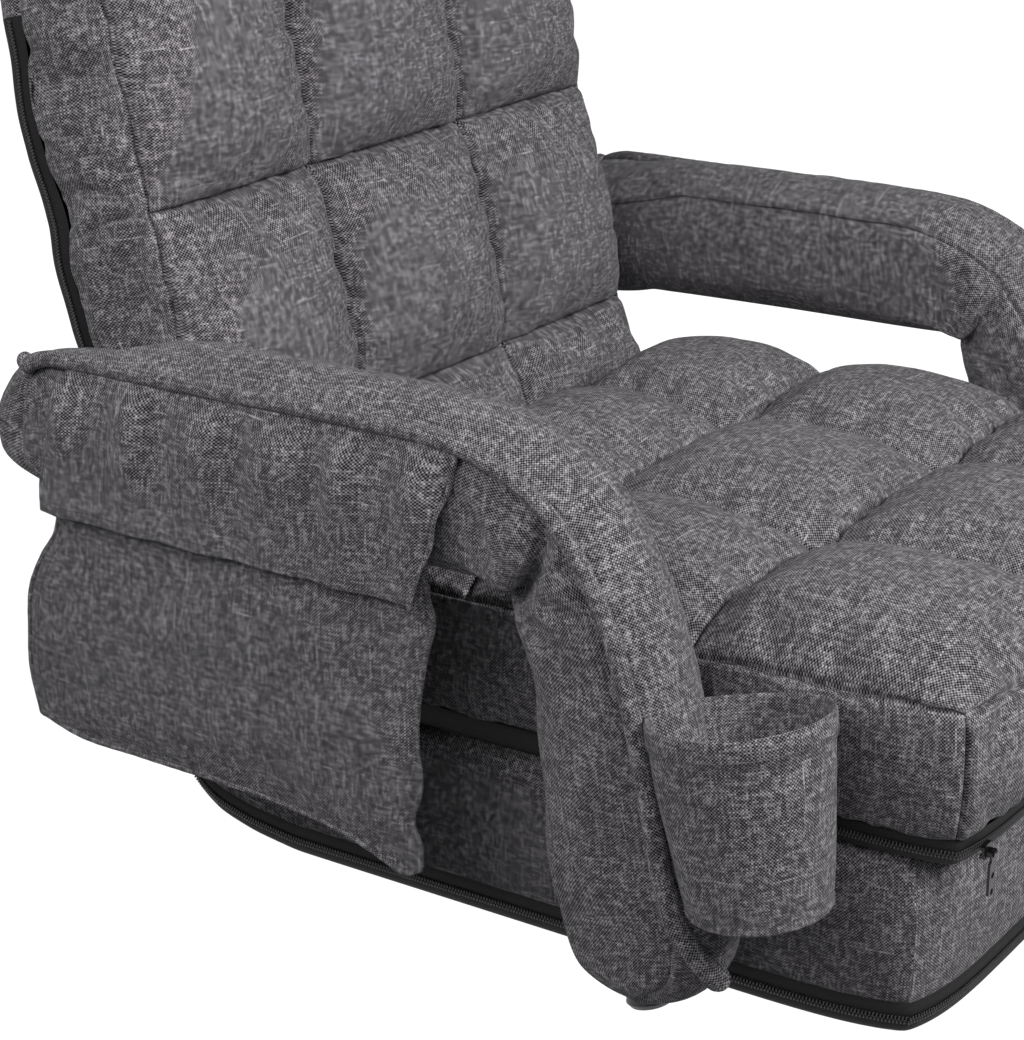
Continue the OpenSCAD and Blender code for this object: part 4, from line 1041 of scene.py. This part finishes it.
# The pocket's flap: a doubled linen sheet sewn in under the arm's welt, hanging in broad soft
# folds that fade towards its stitched hem.
flap_rows, flap_columns = 30, 76
flap_flat = patch(
    [(-21, 347.5), (90, 348), (180, 347.5), (275, 347)],
    [(-21, 347.5), (-17, 326), (-11, 305), (-9, 290), (-3, 272), (2, 256), (3, 251)],
    [(3, 251), (60, 250.5), (120, 251), (180, 250.5), (240, 251), (294, 251.5)],
    [(275, 347), (282, 330), (288, 305), (292, 285), (294, 265), (294, 251.5)],
    flap_rows, flap_columns)
hang = np.linspace(0, 1, flap_rows)[:, None]
flap_y, flap_z = flap_flat[..., 0], flap_flat[..., 1]
flap_out = through(np.array([0, 0.06, 0.16, 0.3, 0.6, 1.0]),
                   np.array([[0.3455], [0.3492], [0.3558], [0.3596], [0.3604], [0.3616]]), hang[:, 0])
folds = 0.0062 * np.sin(2 * math.pi * flap_y / 0.052 + 0.7 + 0.6 * np.sin(flap_y * 21))
folds = folds + 0.0018 * np.sin(2 * math.pi * flap_y / 0.031 + 2.0)
fold_share = ramp(hang, 0.2) * (1 - 0.78 * ramp(hang - 0.32, 0.5))
flap_share = np.linspace(0, 1, flap_columns)[None, :]
frill = 0.0006 * np.sin(flap_z * 190) * np.exp(-np.minimum(flap_share, 1 - flap_share) / 0.03)
flap_x = -(flap_out + 0.0006 + folds * fold_share + frill)
flap_points = joined(flap_x, flap_y, flap_z)
flap_points[hang[:, 0] > 0.88, :, 0] -= 0.0006
flap = sewn("flap_cloth", [(flap_points, flap_flat, 0.0)])
thick = flap.modifiers.new("doubled", "SOLIDIFY")
thick.thickness = 0.0020
thick.offset = -1.0
finished(smoothed(flap), linen, "pocket_flap", "linen", "pocket_flap")
flap_edge = flap_points[2:, 0] - [0.0010, 0, 0]
flap_edge = through(np.linspace(0, 1, len(flap_edge)), flap_edge, np.linspace(0, 1, 60))
flap_binding = corded("flap_binding", flap_edge, 0.0016, sides=6)
finished(flap_binding, linen, "pocket_flap", "linen")

# Steel frame, brackets and hinge: tube and plate with a satin zinc coat; pins, rivets and
# bolts are brighter. The feet are grey moulded plastic and the zip's slider is black.


def satin(name, colour, roughness, metallic, grain, wear=0.25):
    """A coated or moulded finish with fine grain, rubbed a little brighter in patches."""
    finish, tree, calc = new_finish(name)
    where = wired(tree, "ShaderNodeTexCoord", output="Object")
    fine = wired(tree, "ShaderNodeTexNoise", where, None, grain, 3.0)
    broad = wired(tree, "ShaderNodeTexNoise", where, None, 28.0, 4.0)
    bright = tuple(min(1, part * (1 + wear) + 0.01) for part in colour[:3]) + (1,)
    tone = calc("MULTIPLY_ADD", fine, 0.5, calc("MULTIPLY", broad, 0.6), clamp=True)
    rough = wired(tree, "ShaderNodeMapRange", broad, 0.3, 0.7, roughness - 0.08, roughness + 0.08)
    surfaced(tree, shaded(tree, tone, colour, bright), fine, strength=0.25, distance=0.0002,
             settings={"Metallic": metallic, "Roughness": rough})
    return finish


steel = satin("zinc_coated_steel", (0.36, 0.37, 0.38, 1), roughness=0.42, metallic=1.0, grain=900.0)
bright_zinc = satin("bright_zinc", (0.55, 0.56, 0.57, 1), roughness=0.3, metallic=1.0, grain=1400.0)
grey_plastic = satin("grey_plastic", (0.055, 0.056, 0.062, 1), roughness=0.5, metallic=0.0,
                     grain=1800.0, wear=0.5)
black_lacquer = satin("black_lacquer", (0.008, 0.008, 0.009, 1), roughness=0.35, metallic=0.6,
                      grain=1600.0, wear=0.8)
for finish, names in (
    (steel, ("seat_frame", "hinge_fixed_plates", "ratchet_pawls", "leg_brackets", "back_frame",
             "hinge_moving_plates", "right_arm_rail", "left_arm_rail", "right_leg_post", "left_leg_post")),
    (bright_zinc, ("hinge_pins", "pawl_rivets", "leg_pivot_pins", "plate_bolts", "arm_stubs",
                   "right_elbow_pin", "left_elbow_pin")),
    (grey_plastic, ("right_leg_foot", "left_leg_foot")),
    (black_lacquer, ("zip_slider", "zip_pull")),
):
    for name in names:
        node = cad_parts[name]
        if not node.material_slots:
            node.data.materials.append(finish)
        for material_slot in node.material_slots:
            material_slot.material = finish

# Closed zips: fine black coils of teeth, two rows a chain, down both edges of the backrest's
# rear panel, round the base's black band and round the seat's lining.


def rod_run(name, sizes, sides, turned, offsets):
    """A node group that puts small rods along a path every pitch. A rod's own X lies along
    the path and its Z outwards, and it is turned and shifted from there."""
    tree = bpy.data.node_groups.new(name, "GeometryNodeTree")
    tree.interface.new_socket("Geometry", in_out="INPUT", socket_type="NodeSocketGeometry")
    for title, value in sizes.items():
        socket = tree.interface.new_socket(title, in_out="INPUT", socket_type="NodeSocketFloat")
        socket.default_value = value
    tree.interface.new_socket("Finish", in_out="INPUT", socket_type="NodeSocketMaterial")
    tree.interface.new_socket("Geometry", in_out="OUTPUT", socket_type="NodeSocketGeometry")
    given = tree.nodes.new("NodeGroupInput").outputs

    def put(kind, links, **settings):
        """A node of this kind, with the outputs that feed its named inputs."""
        made = tree.nodes.new(kind)
        for title, value in settings.items():
            setattr(made, title, value)
        for title, output in links.items():
            tree.links.new(output, made.inputs[title])
        return made

    rod = put("GeometryNodeMeshCylinder", {"Radius": given["Rod radius"], "Depth": given["Rod length"]})
    rod.inputs["Vertices"].default_value = sides
    rods = tree.nodes.new("GeometryNodeJoinGeometry")
    for offset in offsets:
        lying = put("GeometryNodeTransform", {"Geometry": rod.outputs["Mesh"]})
        lying.inputs["Translation"].default_value = offset
        lying.inputs["Rotation"].default_value = turned
        tree.links.new(lying.outputs[0], rods.inputs[0])
    curve = wired(tree, "GeometryNodeMeshToCurve", given["Geometry"])
    spots = put("GeometryNodeResampleCurve", {"Curve": curve, "Length": given["Pitch"]}, mode="LENGTH")
    way = tree.nodes.new("GeometryNodeInputTangent").outputs[0]
    outward = wired(tree, "GeometryNodeInputNamedAttribute", "outward", data_type="FLOAT_VECTOR")
    facing = put("FunctionNodeAlignRotationToVector", {"Vector": way}, axis="X")
    rolled = put("FunctionNodeAlignRotationToVector",
                 {"Rotation": facing.outputs[0], "Vector": outward}, axis="Z", pivot_axis="X")
    placed = put("GeometryNodeInstanceOnPoints",
                 {"Points": spots.outputs[0], "Instance": rods.outputs[0], "Rotation": rolled.outputs[0]})
    real = wired(tree, "GeometryNodeRealizeInstances", placed.outputs[0])
    coated = put("GeometryNodeSetMaterial", {"Geometry": real, "Material": given["Finish"]})
    put("NodeGroupOutput", {0: coated.outputs[0]})
    return tree


def repeated(name, tree, runs, sizes, finish):
    """Runs the tree along each path of points with its outward directions, as a plain mesh."""
    given = {"Finish": finish, **sizes}
    verts, edges, outwards = [], [], []
    for points, outward in runs:
        start = len(verts)
        verts.extend(np.asarray(points, float).tolist())
        outwards.extend(np.broadcast_to(outward, np.shape(points)).tolist())
        edges.extend((start + i, start + i + 1) for i in range(len(points) - 1))
    mesh = bpy.data.meshes.new(name + "_path")
    mesh.from_pydata(verts, edges, [])
    attribute = mesh.attributes.new("outward", "FLOAT_VECTOR", "POINT")
    attribute.data.foreach_set("vector", np.array(outwards, np.float32).ravel())
    guide = added(name + "_path", mesh)
    grown = guide.modifiers.new("repeat", "NODES")
    grown.node_group = tree
    for item in tree.interface.items_tree:
        if item.item_type == "SOCKET" and item.in_out == "INPUT" and item.name in given:
            grown[item.identifier] = given[item.name]
    graph = bpy.context.evaluated_depsgraph_get()
    made = added(name, bpy.data.meshes.new_from_object(guide.evaluated_get(graph)))
    bpy.data.objects.remove(guide)
    made.data.shade_smooth()
    return made


def ring_outward(ring):
    """The way that the nearest side of the base faces, at each point of a ring round it."""
    outward = unit(ring - ring.mean(0)) * [1, 1, 0]
    side = np.abs(outward[:, 0]) * base_high.y > np.abs(outward[:, 1]) * base_high.x
    return np.where(side[:, None], np.sign(outward) * [1, 0, 0], np.sign(outward) * [0, 1, 0])


zip_black = satin("zip_black", (0.006, 0.006, 0.007, 1), roughness=0.38, metallic=0.0,
                  grain=2400.0, wear=1.5)
zip_sizes = {"Pitch": 0.0022, "Rod length": 0.0026, "Rod radius": 0.0007}
zip_tree = rod_run("zip_coil", zip_sizes, sides=8, turned=(math.pi / 2, 0, 0),
                   offsets=((-0.00055, -0.0011, 0), (0.00055, 0.0011, 0)))


def zip_chain(name, body, node, runs):
    """A closed zip along these runs, riding on the body in place of the node."""
    chain = repeated(name, zip_tree, runs, zip_sizes, zip_black)
    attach(chain, body)
    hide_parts(node)


band_ring = rim_of(laid(base_u, base_v, -0.0004, band_turn, base_round))
zip_chain("base_zip", "base", "base_zip_chain", [(lifted(band_ring), ring_outward(band_ring))])

under_ring = rim_of(laid(under_u, under_v, -0.0012, (under_low.z + under_high.z) / 2, under_round))
chain_end = bracket_low.y - 0.002
in_chain = under_ring[:, 1] < chain_end
first_in = int(np.nonzero(~in_chain)[0][0])
under_ring = np.roll(under_ring[:-1], -first_in, axis=0)
under_ring = under_ring[under_ring[:, 1] < chain_end]
zip_chain("seat_zip", "base", "seat_zip_chain", [(under_ring, ring_outward(under_ring))])

zip_runs = []
ups = np.linspace(0.012, hood_from - 0.006, 120)
for side in (-1, 1):
    run = joined(side * (back_wide + 0.0002), ups, -0.0290)
    zip_runs.append((leant(run), np.array([side * 0.93, 0.36, 0])))
zip_chain("back_zip", "back", "back_zip_chain", zip_runs)

# Stitches: runs of short thread stitches that hold the flap's hem, the cup's folded rim and
# the pouch's bound edge.
thread = satin("grey_thread", (0.075, 0.072, 0.078, 1), roughness=0.6, metallic=0.0,
               grain=2600.0, wear=1.2)
stitch_sizes = {"Pitch": 0.0042, "Rod length": 0.0031, "Rod radius": 0.0004}
stitch_tree = rod_run("stitch_run", stitch_sizes, sides=6, turned=(0, math.pi / 2, 0),
                      offsets=((0, 0, 0),))
outside = np.array([-1.0, 0.0, 0.0])
hem_row = int(np.argmin(np.abs(hang[:, 0] - 0.92)))
hem_run = flap_points[hem_row, 1:-1] + outside * 0.0004
rim_ring = cup_points[18]
rim_out = unit(rim_ring - rim_ring[:-1].mean(0))
bound = 2
edge_run = np.concatenate([pouch_front[16:-bound, bound], pouch_front[-bound - 1, bound + 1:-bound],
                           pouch_front[-bound - 2:16:-1, -bound - 1]])
for name, body, run, outward in (("flap_stitches", "pocket_flap", hem_run, outside),
                                 ("cup_stitches", "right_leg", rim_ring + rim_out * 0.0002, rim_out),
                                 ("pouch_stitches", "right_arm", edge_run + outside * 0.0003, outside)):
    stitches = repeated(name, stitch_tree, [(run, outward)], stitch_sizes, thread)
    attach(stitches, body)
